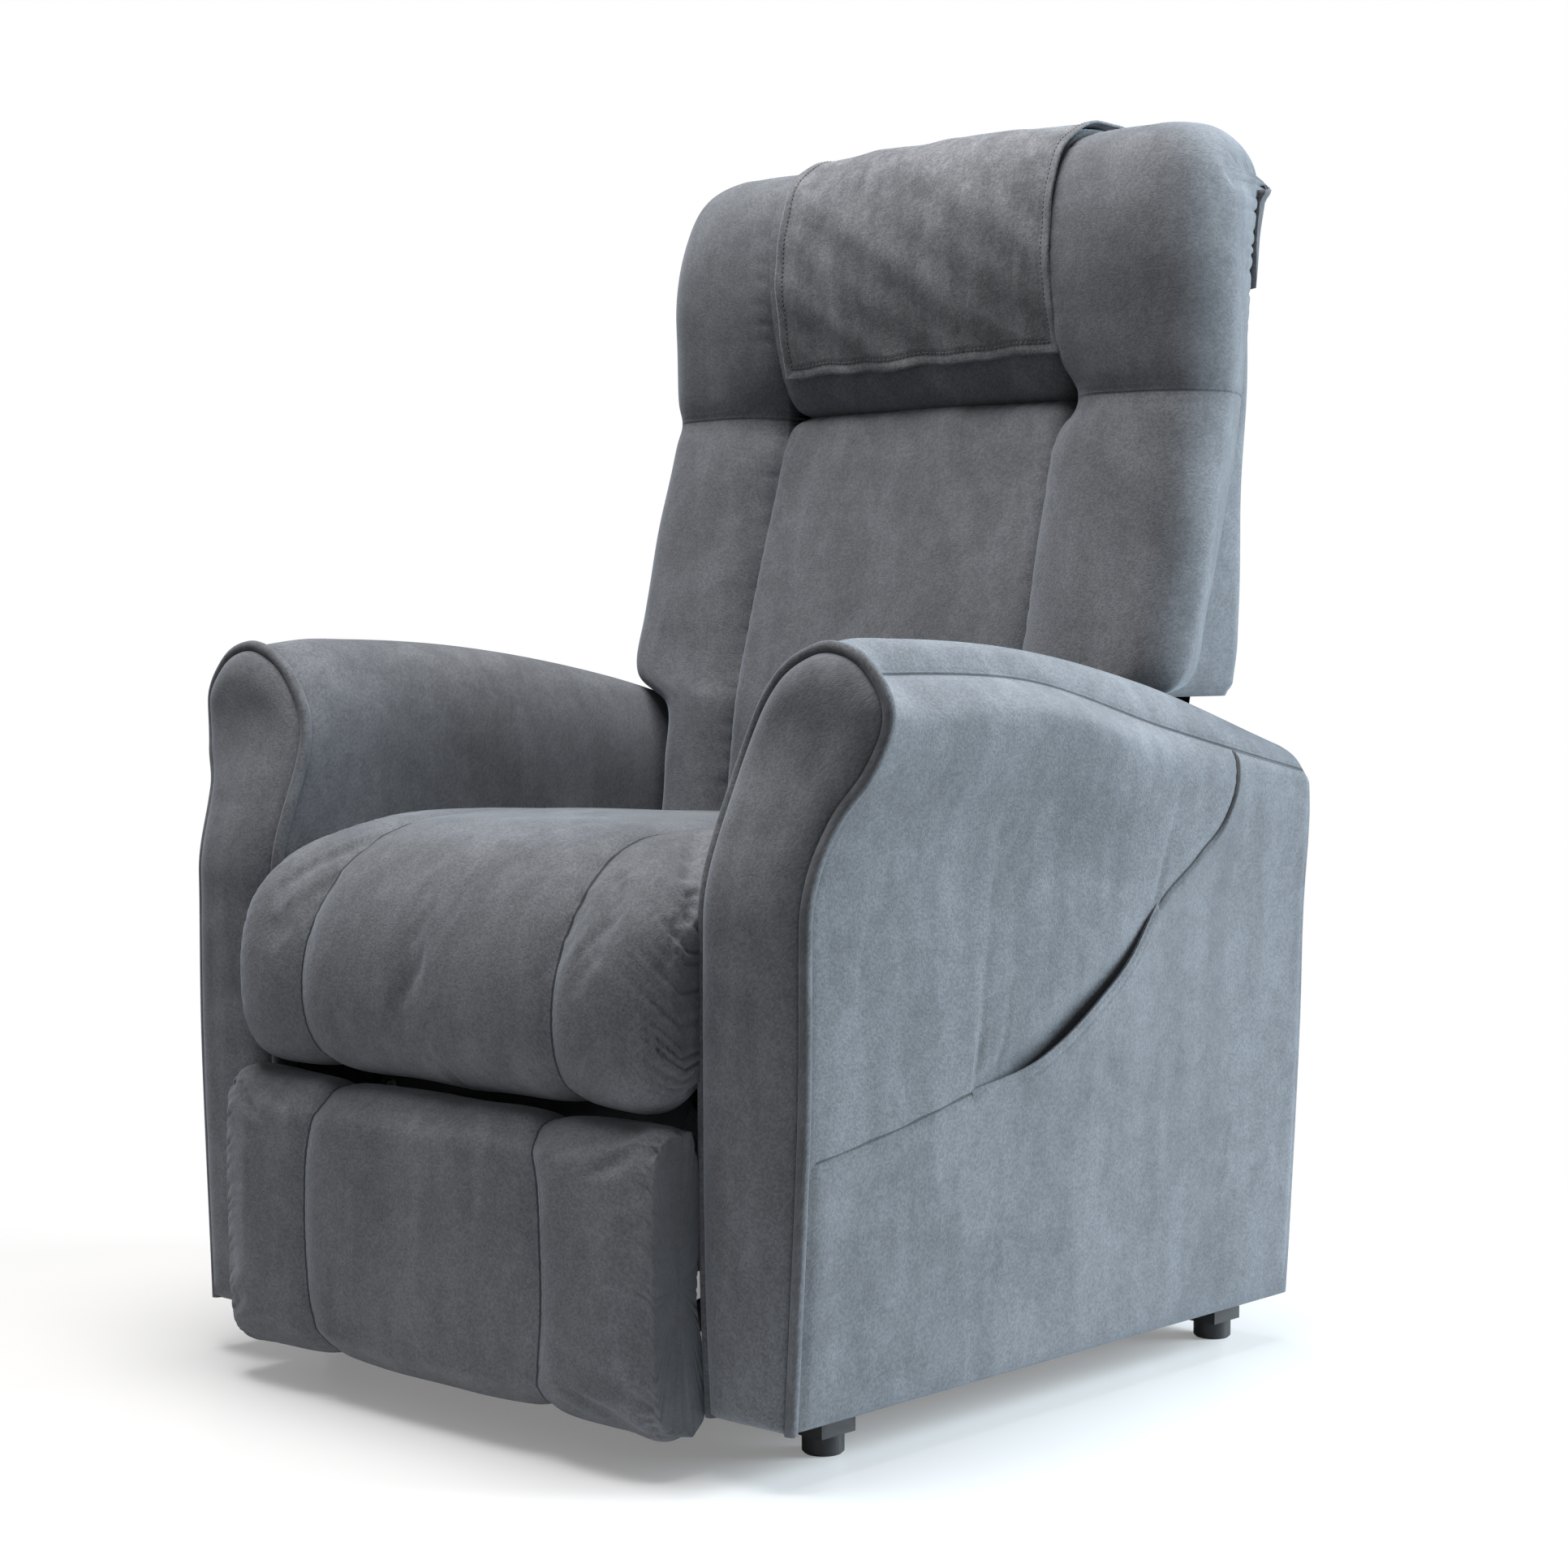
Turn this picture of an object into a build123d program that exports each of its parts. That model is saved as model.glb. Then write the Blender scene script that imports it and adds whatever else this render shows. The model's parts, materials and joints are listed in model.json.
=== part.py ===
"""Power rise-and-recline armchair, in millimetres.

Frame: -Y is the sitter's front, +X the viewer's right seen from the front, +Z up.
The origin is on the floor, under the middle of the chair's outer box.
"""
import os
from math import atan2, cos, degrees, hypot, radians, sin, sqrt, tan

from build123d import *

os.makedirs("parts", exist_ok=True)

# ---- Overall sizes -------------------------------------------------------------------------
front_y = -400.0          # foremost point of the seat roll and the footrest pad
rear_y = 400.0            # rearmost point of the back
top_z = 1106.0            # crest of the head cushion
body_front_y = -352.0     # front faces of the arms
body_rear_y = 346.0       # rear faces of the arms
floor_gap = 45.0          # height of the arms' lower edges
arm_inner_x = 267.0
arm_foot_x = 350.0        # outer face of an arm at its lower edge
arm_belly_x, arm_belly_z, arm_hollow = 363.0, 270.0, 7.0
setback, setback_low, setback_high = 44.0, 440.0, 575.0   # how the arms' fronts lean back at the top

# ---- Plates, tubes and pins: each plate layer is one plane of the side mechanism --------------
fit = 0.05                # radial running clearance of every pin
pin_r, pin_proud = 6.0, 2.0
rail_x, rail_t = 258.0, 5.0
control_x, control_t = 246.0, 6.0
lift_x, lift_t = 232.0, 8.0
bracket_x, bracket_t = 218.0, 8.0
mount_x, mount_t = 206.0, 6.0
rear_link_x, front_link_x, foot_bracket_x, link_t = 198.0, 190.0, 182.0, 6.0

# ---- Base ------------------------------------------------------------------------------------
glide_r, glide_h, glide_x = 17.0, 16.0, 290.0
tube_z, tube_w, tube_wall = 22.0, 40.0, 2.0
base_half = 304.0
base_front_y, base_rear_y = -228.0, 310.0
side_tube_x, side_tube_w = 216.0, 26.0
cap_t, cap_plug = 2.5, 8.0
base_top = glide_h + tube_z

# ---- Lift linkage: points are (y, z) ------------------------------------------------------------
lift_base = (220.0, 95.0)
lift_tip = (-200.0, 170.0)
control_base = (293.0, 76.0)
control_tip = (-166.0, 160.0)
control_slot = 1.5        # slack of the control links' open pivot
lift_arm_w, control_w = 34.0, 24.0
torque_r, torque_wall, torque_share = 16.0, 2.5, 0.1
crank_r, crank_lead = 115.0, 18.0
motor_base = (-205.0, 75.0)
lift_motor_x, back_motor_x = -70.0, 70.0

# ---- Linear drives -----------------------------------------------------------------------------
ear_in, ear_t, eye_half, eye_wall = 14.0, 6.0, 12.0, 6.0
drive_pin_r = 5.0
drive_slack = 8.0         # slack of a rod's open pivot
gearbox_from, gearbox_to, gearbox_half, gearbox_w = 22.0, 117.0, 24.0, 27.0
motor_r, motor_len, motor_off = 21.0, 105.0, 44.0
drive_tube_r, rod_r = 13.0, 8.0
lift_tube_end, lift_rod_from = 350.0, 150.0
back_tube_end, back_rod_from = 365.0, 240.0

# ---- Chair body --------------------------------------------------------------------------------
rail_low, rail_high, rail_front, rail_rear = 140.0, 305.0, -312.0, 205.0
cross_w, cross_wall = 25.0, 2.0
cross_z, cross_front_y, cross_rear_y = 292.0, -285.0, 60.0
motor_bar_y, motor_bar_z, motor_bar_h = -108.0, 262.0, 22.0
spring_r, spring_count, spring_pitch, spring_swing = 1.9, 5, 100.0, 16.0
spring_step = 30.0
cushion_half, cushion_low, cushion_top, cushion_rear = 260.0, 312.0, 482.0, 120.0
roll_low, roll_rear = 278.0, -330.0
ply_t, ply_x, ply_gap = 18.0, 285.0, 0.5
bolt_r, bolt_head_r, bolt_head_h = 4.0, 7.0, 5.0
bolt_points = ((-270.0, 205.0), (-140.0, 272.0), (120.0, 205.0))
front_panel_t = 22.0
piping_r, piping_from, piping_to = 5.0, 14.0, 23.0
pocket_in, pocket_skin, pocket_low, pocket_gape = 338.0, 352.0, 170.0, 14.0
pocket_mouth = ((-133.0, 284.0), (-49.0, 302.0), (27.0, 341.0), (83.0, 381.0), (115.0, 418.0))
rear_panel_y, rear_panel_t, rear_panel_low, rear_panel_high = 326.0, 10.0, 60.0, 465.0

# ---- Back: everything hangs on one leaning plane --------------------------------------------------
back_pivot = (250.0, 500.0)
plane_y, plane_z, lean = 215.0, 470.0, 10.0
post_x, post_w, post_d = 219.0, 25.0, 40.0
post_low, post_high = 470.0, 1040.0
web_t, web_h, web_count = 2.0, 50.0, 5
pad_gap = 3.0             # room for the webbing between frame and pads
wing_z = 605.0            # above this height the bolsters spread over the arms
bolster_in, bolster_low_out, wing_out = 172.0, 240.0, 335.0
pad_low, tuft_z = 458.0, 860.0   # lower edge of the back's pads, and the sewn tuck across them
shell_half, shell_wall = 290.0, 12.0
shell_low, shell_high, shell_foot_y, shell_head_y = 590.0, 1048.0, 358.0, 377.0
hinge_x, hinge_t = 244.0, 6.0
back_bracket_x, back_bracket_t, hinge_r = 253.0, 5.0, 18.0
bracket_low, bracket_front, bracket_neck = 222.0, 150.0, 420.0
plate_low, plate_high = 560.0, 640.0     # where the hinge plates lie on the posts
back_crank_r, back_crank_lead, back_eye_r = 90.0, 35.0, 14.0
back_motor_base = (-60.0, 130.0)
cover_half, cover_t, cover_gap = 166.0, 3.0, 0.5

# ---- Footrest ----------------------------------------------------------------------------------
foot_pivot = (-260.0, 245.0)
foot_elbow = (-109.0, 131.0)
foot_tip = (-325.0, 90.0)
foot_link_w = 24.0
mount_reach, mount_eye_r = 42.0, 14.0
foot_bracket_down, foot_bracket_up, foot_bracket_r = 40.0, 60.0, 13.0
foot_half, foot_low, foot_high = 260.0, 26.0, 268.0
foot_low_r, foot_top_h = 12.0, 60.0     # rounding under the pad, and the height over which its top rolls in
board_y, board_t, board_inset = -352.0, 14.0, 18.0


def back_y(z):
    """The leaning plane's y at height z."""
    return plane_y + (z - plane_z) * tan(radians(lean))


def finish(piece, label):
    """Names a piece and writes it."""
    piece.part.label = label
    export_step(piece.part, f"parts/{label}.step")


def layer(side, inner_x, thick):
    """Plane of a plate on one side: y and z are its own x and y, and it is extruded towards +X."""
    return Plane.YZ.offset(inner_x if side > 0 else -inner_x - thick)


def slot_between(a, b, width):
    """Draws a round-ended bar from a to b in the sketch that is open."""
    middle = ((a[0] + b[0]) / 2, (a[1] + b[1]) / 2)
    turn = degrees(atan2(b[1] - a[1], b[0] - a[0]))
    with Locations(middle):
        SlotCenterToCenter(hypot(b[0] - a[0], b[1] - a[1]), width, rotation=turn)


def link(side, inner_x, thick, a, b, width, hole_a, hole_b):
    """A flat bar between two pivots."""
    with BuildPart() as bar:
        with BuildSketch(layer(side, inner_x, thick)):
            slot_between(a, b, width)
            for point, radius in ((a, hole_a), (b, hole_b)):
                with Locations(point):
                    Circle(radius, mode=Mode.SUBTRACT)
        extrude(amount=thick)
    return bar


def both_sides(make, *values):
    """One node of two mirrored bars."""
    right, left = make(1, *values), make(-1, *values)
    with BuildPart() as pair:
        add(right.part)
        add(left.part)
    return pair


def box_tube(plane, width, height, wall, length):
    """A rectangular tube along a plane's normal."""
    with BuildPart() as tube:
        with BuildSketch(plane):
            Rectangle(width, height)
            Rectangle(width - 2 * wall, height - 2 * wall, mode=Mode.SUBTRACT)
        extrude(amount=length)
    return tube


# ============================== Base on the floor ================================================
for label, rail_y in (("base_front_rail", base_front_y), ("base_rear_rail", base_rear_y)):
    start = Plane(origin=(-base_half, rail_y, glide_h + tube_z / 2), x_dir=(0, 1, 0), z_dir=(1, 0, 0))
    finish(box_tube(start, tube_w, tube_z, tube_wall, 2 * base_half), label)

side_from, side_to = base_front_y + tube_w / 2, base_rear_y - tube_w / 2
with BuildPart() as side_rails:
    for side in (1, -1):
        with BuildSketch(Plane(origin=(side * side_tube_x, side_from, glide_h + tube_z / 2),
                               x_dir=(1, 0, 0), z_dir=(0, 1, 0))):
            Rectangle(side_tube_w, tube_z)
            Rectangle(side_tube_w - 2 * tube_wall, tube_z - 2 * tube_wall, mode=Mode.SUBTRACT)
        extrude(amount=side_to - side_from)
finish(side_rails, "base_side_rails")

corner_points = [(side * glide_x, y) for side in (1, -1) for y in (base_front_y, base_rear_y)]
with BuildPart() as glides:
    with BuildSketch(Plane.XY):
        with Locations(*corner_points):
            Circle(glide_r)
    extrude(amount=glide_h)
    chamfer(glides.edges().group_by(Axis.Z)[0], length=2)
finish(glides, "floor_glides")

with BuildPart() as caps:
    for side in (1, -1):
        for y in (base_front_y, base_rear_y):
            mouth = side * base_half
            with BuildSketch(Plane(origin=(mouth, y, glide_h + tube_z / 2), x_dir=(0, 1, 0),
                                   z_dir=(side, 0, 0))):
                Rectangle(tube_w, tube_z)
            extrude(amount=cap_t)
            with BuildSketch(Plane(origin=(mouth, y, glide_h + tube_z / 2), x_dir=(0, 1, 0),
                                   z_dir=(-side, 0, 0))):
                Rectangle(tube_w - 2 * tube_wall, tube_z - 2 * tube_wall)
            extrude(amount=cap_plug)
finish(caps, "tube_end_caps")

with BuildPart() as brackets:
    for side in (1, -1):
        with BuildSketch(layer(side, bracket_x, bracket_t)):
            with BuildLine():
                Polyline((lift_base[0] - 26, base_top), (base_rear_y, base_top),
                         (base_rear_y, control_base[1] + 10), (control_base[0], control_base[1] + 17),
                         (lift_base[0] + 10, lift_base[1] + 17), (lift_base[0] - 14, lift_base[1] + 14),
                         close=True)
            make_face()
            with Locations(lift_base, control_base):
                Circle(pin_r + fit, mode=Mode.SUBTRACT)
        extrude(amount=bracket_t)
finish(brackets, "base_brackets")

with BuildPart() as base_pins:
    for side in (1, -1):
        for point, reach in ((lift_base, lift_x + lift_t + pin_proud),
                             (control_base, control_x + control_t + pin_proud)):
            start, end = bracket_x - pin_proud, reach
            with BuildSketch(Plane.YZ.offset(start if side > 0 else -end)):
                with Locations(point):
                    Circle(pin_r)
            extrude(amount=end - start)
    with BuildSketch(Plane.YZ.offset(lift_motor_x - ear_in - ear_t - pin_proud)):
        with Locations(motor_base):
            Circle(pin_r)
    extrude(amount=2 * (ear_in + ear_t + pin_proud))
finish(base_pins, "base_pivot_pins")


def ears(centre_x, pivot, foot_y, foot_z, hole):
    """Two ears of a clevis that stand on, or hang from, a cross tube's flat face."""
    foot_half = tube_w / 2 - tube_wall
    with BuildPart() as clevis:
        for start in (centre_x - ear_in - ear_t, centre_x + ear_in):
            with BuildSketch(Plane.YZ.offset(start)):
                with BuildLine():
                    Polyline((foot_y - foot_half, foot_z), (foot_y + foot_half, foot_z),
                             (pivot[0] + hole, pivot[1]), (pivot[0] - hole, pivot[1]), close=True)
                make_face()
                with Locations(pivot):
                    Circle(hole + eye_wall)
                    Circle(hole, mode=Mode.SUBTRACT)
            extrude(amount=ear_t)
    return clevis


finish(ears(lift_motor_x, motor_base, base_front_y, base_top, pin_r + fit), "lift_motor_bracket")

# ============================== Lift arms and their drive =========================================
finish(both_sides(link, lift_x, lift_t, lift_base, lift_tip, lift_arm_w, pin_r + fit, pin_r + fit),
       "lift_arms")
finish(both_sides(link, control_x, control_t, control_base, control_tip, control_w,
                  pin_r + fit, pin_r + control_slot), "control_links")

torque_point = tuple(lift_base[i] + torque_share * (lift_tip[i] - lift_base[i]) for i in (0, 1))
with BuildPart() as torque_tube:
    with BuildSketch(Plane.YZ.offset(-lift_x)):
        with Locations(torque_point):
            Circle(torque_r)
            Circle(torque_r - torque_wall, mode=Mode.SUBTRACT)
    extrude(amount=2 * lift_x)
finish(torque_tube, "torque_tube")

crank_point = (lift_base[0] - crank_r * sin(radians(crank_lead)),
               lift_base[1] + crank_r * cos(radians(crank_lead)))
with BuildPart() as crank:
    for start in (lift_motor_x - ear_in - ear_t, lift_motor_x + ear_in):
        with BuildSketch(Plane.YZ.offset(start)):
            slot_between(torque_point, crank_point, 2 * torque_r + 10)
            with Locations(torque_point):
                Circle(torque_r, mode=Mode.SUBTRACT)
            with Locations(crank_point):
                Circle(drive_pin_r, mode=Mode.SUBTRACT)
        extrude(amount=ear_t)
finish(crank, "lift_crank")


def drive_pin(centre_x, point):
    """The pin that a rod's eye hangs on."""
    with BuildPart() as pin:
        with BuildSketch(Plane.YZ.offset(centre_x - ear_in - ear_t)):
            with Locations(point):
                Circle(drive_pin_r)
        extrude(amount=2 * (ear_in + ear_t))
    return pin


finish(drive_pin(lift_motor_x, crank_point), "lift_crank_pin")


def drive_plane(centre_x, base, tip):
    """Plane along a linear drive: its x runs from base pivot to tip, its normal is +X."""
    return Plane(origin=(centre_x, *base), x_dir=(0, tip[0] - base[0], tip[1] - base[1]), z_dir=(1, 0, 0))


def drive_body(centre_x, base, tip, tube_end, motor_side):
    """Eye, gearbox, motor and outer tube of a linear drive, as one screwed-together unit."""
    flat = drive_plane(centre_x, base, tip)
    along = Plane(origin=flat.origin, x_dir=flat.y_dir, z_dir=flat.x_dir)
    with BuildPart() as body:
        with BuildSketch(flat.offset(-eye_half)):
            SlotCenterPoint(((gearbox_from + 4) / 2, 0), (0, 0), 24)
            Circle(pin_r + fit, mode=Mode.SUBTRACT)
        extrude(amount=2 * eye_half)
        with BuildSketch(flat.offset(-gearbox_w)):
            with Locations(((gearbox_from + gearbox_to) / 2, motor_side * 6)):
                RectangleRounded(gearbox_to - gearbox_from, 2 * gearbox_half + 12, 8)
        extrude(amount=2 * gearbox_w)
        with BuildSketch(along.offset(gearbox_from + 2)):
            with Locations((motor_side * motor_off, 0)):
                Circle(motor_r)
        extrude(amount=motor_len)
        with BuildSketch(along.offset(gearbox_to)):
            Circle(drive_tube_r)
        extrude(amount=tube_end - gearbox_to)
        with BuildSketch(along.offset(gearbox_to)):
            Circle(rod_r + fit)
        extrude(amount=tube_end - gearbox_to, mode=Mode.SUBTRACT)
    return body


def drive_rod(centre_x, base, tip, rod_from):
    """Sliding rod with the eye at its end, whose hole leaves the open pivot its slack."""
    flat = drive_plane(centre_x, base, tip)
    along = Plane(origin=flat.origin, x_dir=flat.y_dir, z_dir=flat.x_dir)
    length = hypot(tip[0] - base[0], tip[1] - base[1])
    hole = drive_pin_r + drive_slack
    with BuildPart() as rod:
        with BuildSketch(along.offset(rod_from)):
            Circle(rod_r)
        extrude(amount=length - hole - 2 - rod_from)
        with BuildSketch(flat.offset(-eye_half)):
            with Locations((length, 0)):
                Circle(hole + eye_wall)
                Circle(hole, mode=Mode.SUBTRACT)
        extrude(amount=2 * eye_half)
    return rod


finish(drive_body(lift_motor_x, motor_base, crank_point, lift_tube_end, 1), "lift_motor")
finish(drive_rod(lift_motor_x, motor_base, crank_point, lift_rod_from), "lift_motor_rod")

# ============================== Chair body: steel seat frame ========================================
with BuildPart() as seat_rails:
    for side in (1, -1):
        with BuildSketch(layer(side, rail_x, rail_t)):
            with BuildLine():
                Polyline((rail_front, rail_low), (rail_rear - 40, rail_low), (rail_rear, rail_low + 60),
                         (rail_rear, rail_high), (rail_front, rail_high), close=True)
            make_face()
            with Locations(lift_tip, control_tip):
                Circle(pin_r + fit, mode=Mode.SUBTRACT)
            with Locations(*bolt_points):
                Circle(bolt_r, mode=Mode.SUBTRACT)
        extrude(amount=rail_t)
finish(seat_rails, "seat_side_rails")

for label, tube_y in (("seat_front_tube", cross_front_y), ("seat_rear_tube", cross_rear_y)):
    start = Plane(origin=(-rail_x, tube_y, cross_z), x_dir=(0, 1, 0), z_dir=(1, 0, 0))
    finish(box_tube(start, cross_w, cross_w, cross_wall, 2 * rail_x), label)

tube_face = cross_z - cross_w / 2
with BuildPart() as foot_mounts:
    for side in (1, -1):
        with BuildSketch(layer(side, mount_x, mount_t)):
            with BuildLine():
                Polyline((cross_front_y - cross_w / 2, tube_face), (cross_front_y + mount_reach, tube_face),
                         (foot_pivot[0] + mount_eye_r, foot_pivot[1]),
                         (foot_pivot[0] - mount_eye_r, foot_pivot[1]), close=True)
            make_face()
            with Locations(foot_pivot):
                Circle(mount_eye_r)
                Circle(pin_r + fit, mode=Mode.SUBTRACT)
        extrude(amount=mount_t)
finish(foot_mounts, "footrest_mounts")

with BuildPart() as body_pins:
    for point, start, end in ((lift_tip, lift_x - pin_proud, rail_x + rail_t),
                              (control_tip, control_x - 1, rail_x + rail_t),
                              (foot_pivot, rear_link_x - 1, mount_x + mount_t + pin_proud),
                              (back_pivot, hinge_x + 0.2, arm_inner_x - 3)):
        for side in (1, -1):
            with BuildSketch(Plane.YZ.offset(start if side > 0 else -end)):
                with Locations(point):
                    Circle(pin_r)
            extrude(amount=end - start)
    with BuildSketch(Plane.YZ.offset(back_motor_x - ear_in - ear_t - pin_proud)):
        with Locations(back_motor_base):
            Circle(pin_r)
    extrude(amount=2 * (ear_in + ear_t + pin_proud))
finish(body_pins, "chair_body_pins")

spring_z = cross_z + cross_w / 2 + spring_r + 0.1
spring_steps = int((cross_rear_y - cross_front_y) / spring_step)
with BuildPart() as springs:
    for n in range(spring_count):
        middle = (n - (spring_count - 1) / 2) * spring_pitch
        turns = [(middle + spring_swing * (-1) ** k, cross_front_y + k * spring_step, spring_z)
                 for k in range(spring_steps + 1)]
        with BuildLine() as wire:
            FilletPolyline(*turns, radius=10)
        with BuildSketch(Plane(origin=wire.line @ 0, z_dir=wire.line % 0)):
            Circle(spring_r)
        sweep(path=wire.line)
finish(springs, "seat_springs")

with BuildPart() as control_box:
    with BuildSketch(Plane.YZ.offset(-rail_x)):
        with Locations((60, 240)):
            RectangleRounded(140, 50, 6)
    extrude(amount=50)
    with BuildSketch(Plane.XZ.offset(-130)):
        with Locations((-rail_x + 25, 240)):
            RectangleRounded(26, 18, 4)
    extrude(amount=-6)
finish(control_box, "control_box")

bar_start = Plane(origin=(-rail_x, motor_bar_y, motor_bar_z), x_dir=(0, 1, 0), z_dir=(1, 0, 0))
finish(box_tube(bar_start, tube_w, motor_bar_h, tube_wall, 2 * rail_x), "motor_cross_bar")
finish(ears(back_motor_x, back_motor_base, motor_bar_y, motor_bar_z - motor_bar_h / 2, pin_r + fit),
       "back_motor_bracket")

# ============================== Chair body: seat, arms and rear panel ================================
with BuildPart() as cushion:
    with BuildSketch(Plane.YZ.offset(-cushion_half)):
        with BuildLine():
            roll_top = Line((cushion_rear, cushion_top - 8), (-300, cushion_top))
            roll = Spline(roll_top @ 1, (front_y + 13, 445), (front_y + 1.2, 380), (front_y + 14, 312),
                          (-352, roll_low), tangents=((-1, 0.02), (1, -0.2)))
            Polyline(roll @ 1, (roll_rear, roll_low), (roll_rear, cushion_low), (cushion_rear, cushion_low),
                     roll_top @ 0)
        make_face()
    extrude(amount=2 * cushion_half)
finish(cushion, "seat_cushion")


def arm_outline(side, sizes, grow=0.0):
    """Closed outline of an arm's section: upright inner face, round scroll top, hollow waist, slim foot.

    The scroll is one arc that leaves the inner face tangent to it, reaches the crest and ends at the flare.
    """
    crest, flare_x, flare_z, waist_x, waist_z = sizes
    foot = (side * (arm_foot_x + grow), floor_gap)
    inner_x, width = arm_inner_x - grow, flare_x - arm_inner_x + 2 * grow
    inner_top = flare_z - width + sqrt(2 * width * (crest + grow - flare_z))
    with BuildLine(Plane.XY, mode=Mode.PRIVATE) as outline:
        inner = Line((side * inner_x, floor_gap), (side * inner_x, inner_top))
        scroll = TangentArc(inner @ 1, (side * (flare_x + grow), flare_z), tangent=(0, 1))
        hollow = ThreePointArc(scroll @ 1, (side * ((flare_x + waist_x) / 2 - arm_hollow + grow),
                                            (flare_z + waist_z) / 2), (side * (waist_x + grow), waist_z))
        ThreePointArc(hollow @ 1, (side * (arm_belly_x + grow), arm_belly_z), foot)
        Line(foot, inner @ 0)
    make_face(outline.edges())


def facing(y):
    """Upright plane at y whose x is the chair's X and whose y is the chair's Z."""
    return Plane(origin=(0, y, 0), x_dir=(1, 0, 0), z_dir=(0, -1, 0))


straight_y = -262.0       # the arms keep one section from here to their front faces
front_section = (634, 408, 584, 374, 470)       # crest, flare x and z, waist x and z
rear_sections = ((-110, (633, 400, 582, 372, 460)),
                 (110, (602, 386, 548, 367, 430)),
                 (body_rear_y, (546, 368, 500, 362, 390)))


def front_strip(from_shift, to_shift):
    """Region of the side view between two copies of the arms' front curve, upright and then set back."""
    with BuildLine(Plane.XY, mode=Mode.PRIVATE) as strip:
        ends = []
        for shift in (from_shift, to_shift):
            upright = Line((body_front_y + shift, floor_gap - 10), (body_front_y + shift, setback_low))
            bend = ThreePointArc(upright @ 1, (body_front_y + 14 + shift, (setback_low + setback_high) / 2),
                                 (body_front_y + setback + shift, setback_high))
            tip = Line(bend @ 1, (body_front_y + setback + shift, 700))
            ends.append((upright @ 0, tip @ 1))
        Line(ends[0][0], ends[1][0])
        Line(ends[0][1], ends[1][1])
    make_face(strip.edges())


ply_front, ply_rear, ply_low = -296.0, 322.0, floor_gap + 12
ply_top = ((ply_rear, 460.0), (120.0, 520.0), (-270.0, 545.0), (ply_front, 500.0))
with BuildPart() as plies:
    for side in (1, -1):
        with BuildSketch(layer(side, ply_x, ply_t)):
            with BuildLine():
                Polyline((ply_front, ply_low), (ply_rear, ply_low), *ply_top, close=True)
            make_face()
            with Locations(*bolt_points):
                Circle(bolt_r, mode=Mode.SUBTRACT)
        extrude(amount=ply_t)
finish(plies, "arm_frames")

mouth_low, mouth_high = pocket_mouth[0], pocket_mouth[-1]
for side, name in ((1, "right"), (-1, "left")):
    with BuildPart() as whole_arm:
        for y, sizes in ((body_front_y - 10, front_section), (straight_y, front_section), *rear_sections):
            with BuildSketch(facing(y)):
                arm_outline(side, sizes)
        loft(ruled=True)

    with BuildPart() as front_panel:
        add(whole_arm.part)
        with BuildSketch(Plane.YZ.offset(-500)):
            front_strip(-20, front_panel_t)
        extrude(amount=1000, mode=Mode.INTERSECT)
        with BuildSketch(Plane.YZ.offset(-500)):
            front_strip(-110, 0)
        extrude(amount=1000, mode=Mode.SUBTRACT)
    finish(front_panel, f"arm_front_{name}")

    with BuildPart() as piping:
        with BuildSketch(facing(straight_y)):
            arm_outline(side, front_section, piping_r)
        extrude(amount=straight_y - body_front_y + 5)
        with BuildSketch(Plane.YZ.offset(-500)):
            front_strip(piping_from, piping_to)
        extrude(amount=1000, mode=Mode.INTERSECT)
        add(whole_arm.part, mode=Mode.SUBTRACT)
    finish(piping, f"arm_piping_{name}")

    with BuildPart() as arm_pad:
        add(whole_arm.part)
        with BuildSketch(Plane.YZ.offset(-500)):
            front_strip(-110, front_panel_t)
        extrude(amount=1000, mode=Mode.SUBTRACT)
        with BuildSketch(layer(side, ply_x - ply_gap, ply_t + 2 * ply_gap)):
            with BuildLine():
                Polyline((ply_front, floor_gap - 5), (ply_rear, floor_gap - 5), *ply_top, close=True)
            make_face()
            offset(amount=ply_gap, kind=Kind.INTERSECTION)
        extrude(amount=ply_t + 2 * ply_gap, mode=Mode.SUBTRACT)
        with BuildSketch(layer(side, arm_inner_x - 5, ply_x - arm_inner_x + 10)):
            with Locations(*bolt_points):
                Circle(bolt_r + 0.5)
        extrude(amount=ply_x - arm_inner_x + 10, mode=Mode.SUBTRACT)
        with BuildSketch(layer(side, pocket_in, 100)):
            with BuildLine():
                brim = Spline(*[(y, z + pocket_gape) for y, z in pocket_mouth])
                Polyline(brim @ 1, (mouth_high[0], pocket_low), (mouth_low[0], pocket_low), brim @ 0)
            make_face()
        extrude(amount=100, mode=Mode.SUBTRACT)
    finish(arm_pad, f"arm_pad_{name}")

    with BuildPart() as pocket:
        add(whole_arm.part)
        with BuildSketch(layer(side, pocket_skin, 100)):
            with BuildLine():
                mouth = Spline(*pocket_mouth)
                Polyline(mouth @ 1, (mouth_high[0], pocket_low), (mouth_low[0], pocket_low), mouth @ 0)
            make_face()
        extrude(amount=100, mode=Mode.INTERSECT)
    finish(pocket, f"pocket_panel_{name}")

with BuildPart() as bolts:
    for side in (1, -1):
        for start, end, radius in ((rail_x - bolt_head_h, rail_x, bolt_head_r),
                                   (rail_x, ply_x + ply_t, bolt_r)):
            with BuildSketch(Plane.YZ.offset(start if side > 0 else -end)):
                with Locations(*bolt_points):
                    Circle(radius)
            extrude(amount=end - start)
finish(bolts, "arm_bolts")

with BuildPart() as rear_panel:
    with BuildSketch(Plane.XY.offset(rear_panel_low)):
        with Locations((0, rear_panel_y + rear_panel_t / 2)):
            Rectangle(2 * arm_inner_x, rear_panel_t)
    extrude(amount=rear_panel_high - rear_panel_low)
finish(rear_panel, "rear_panel")

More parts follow.
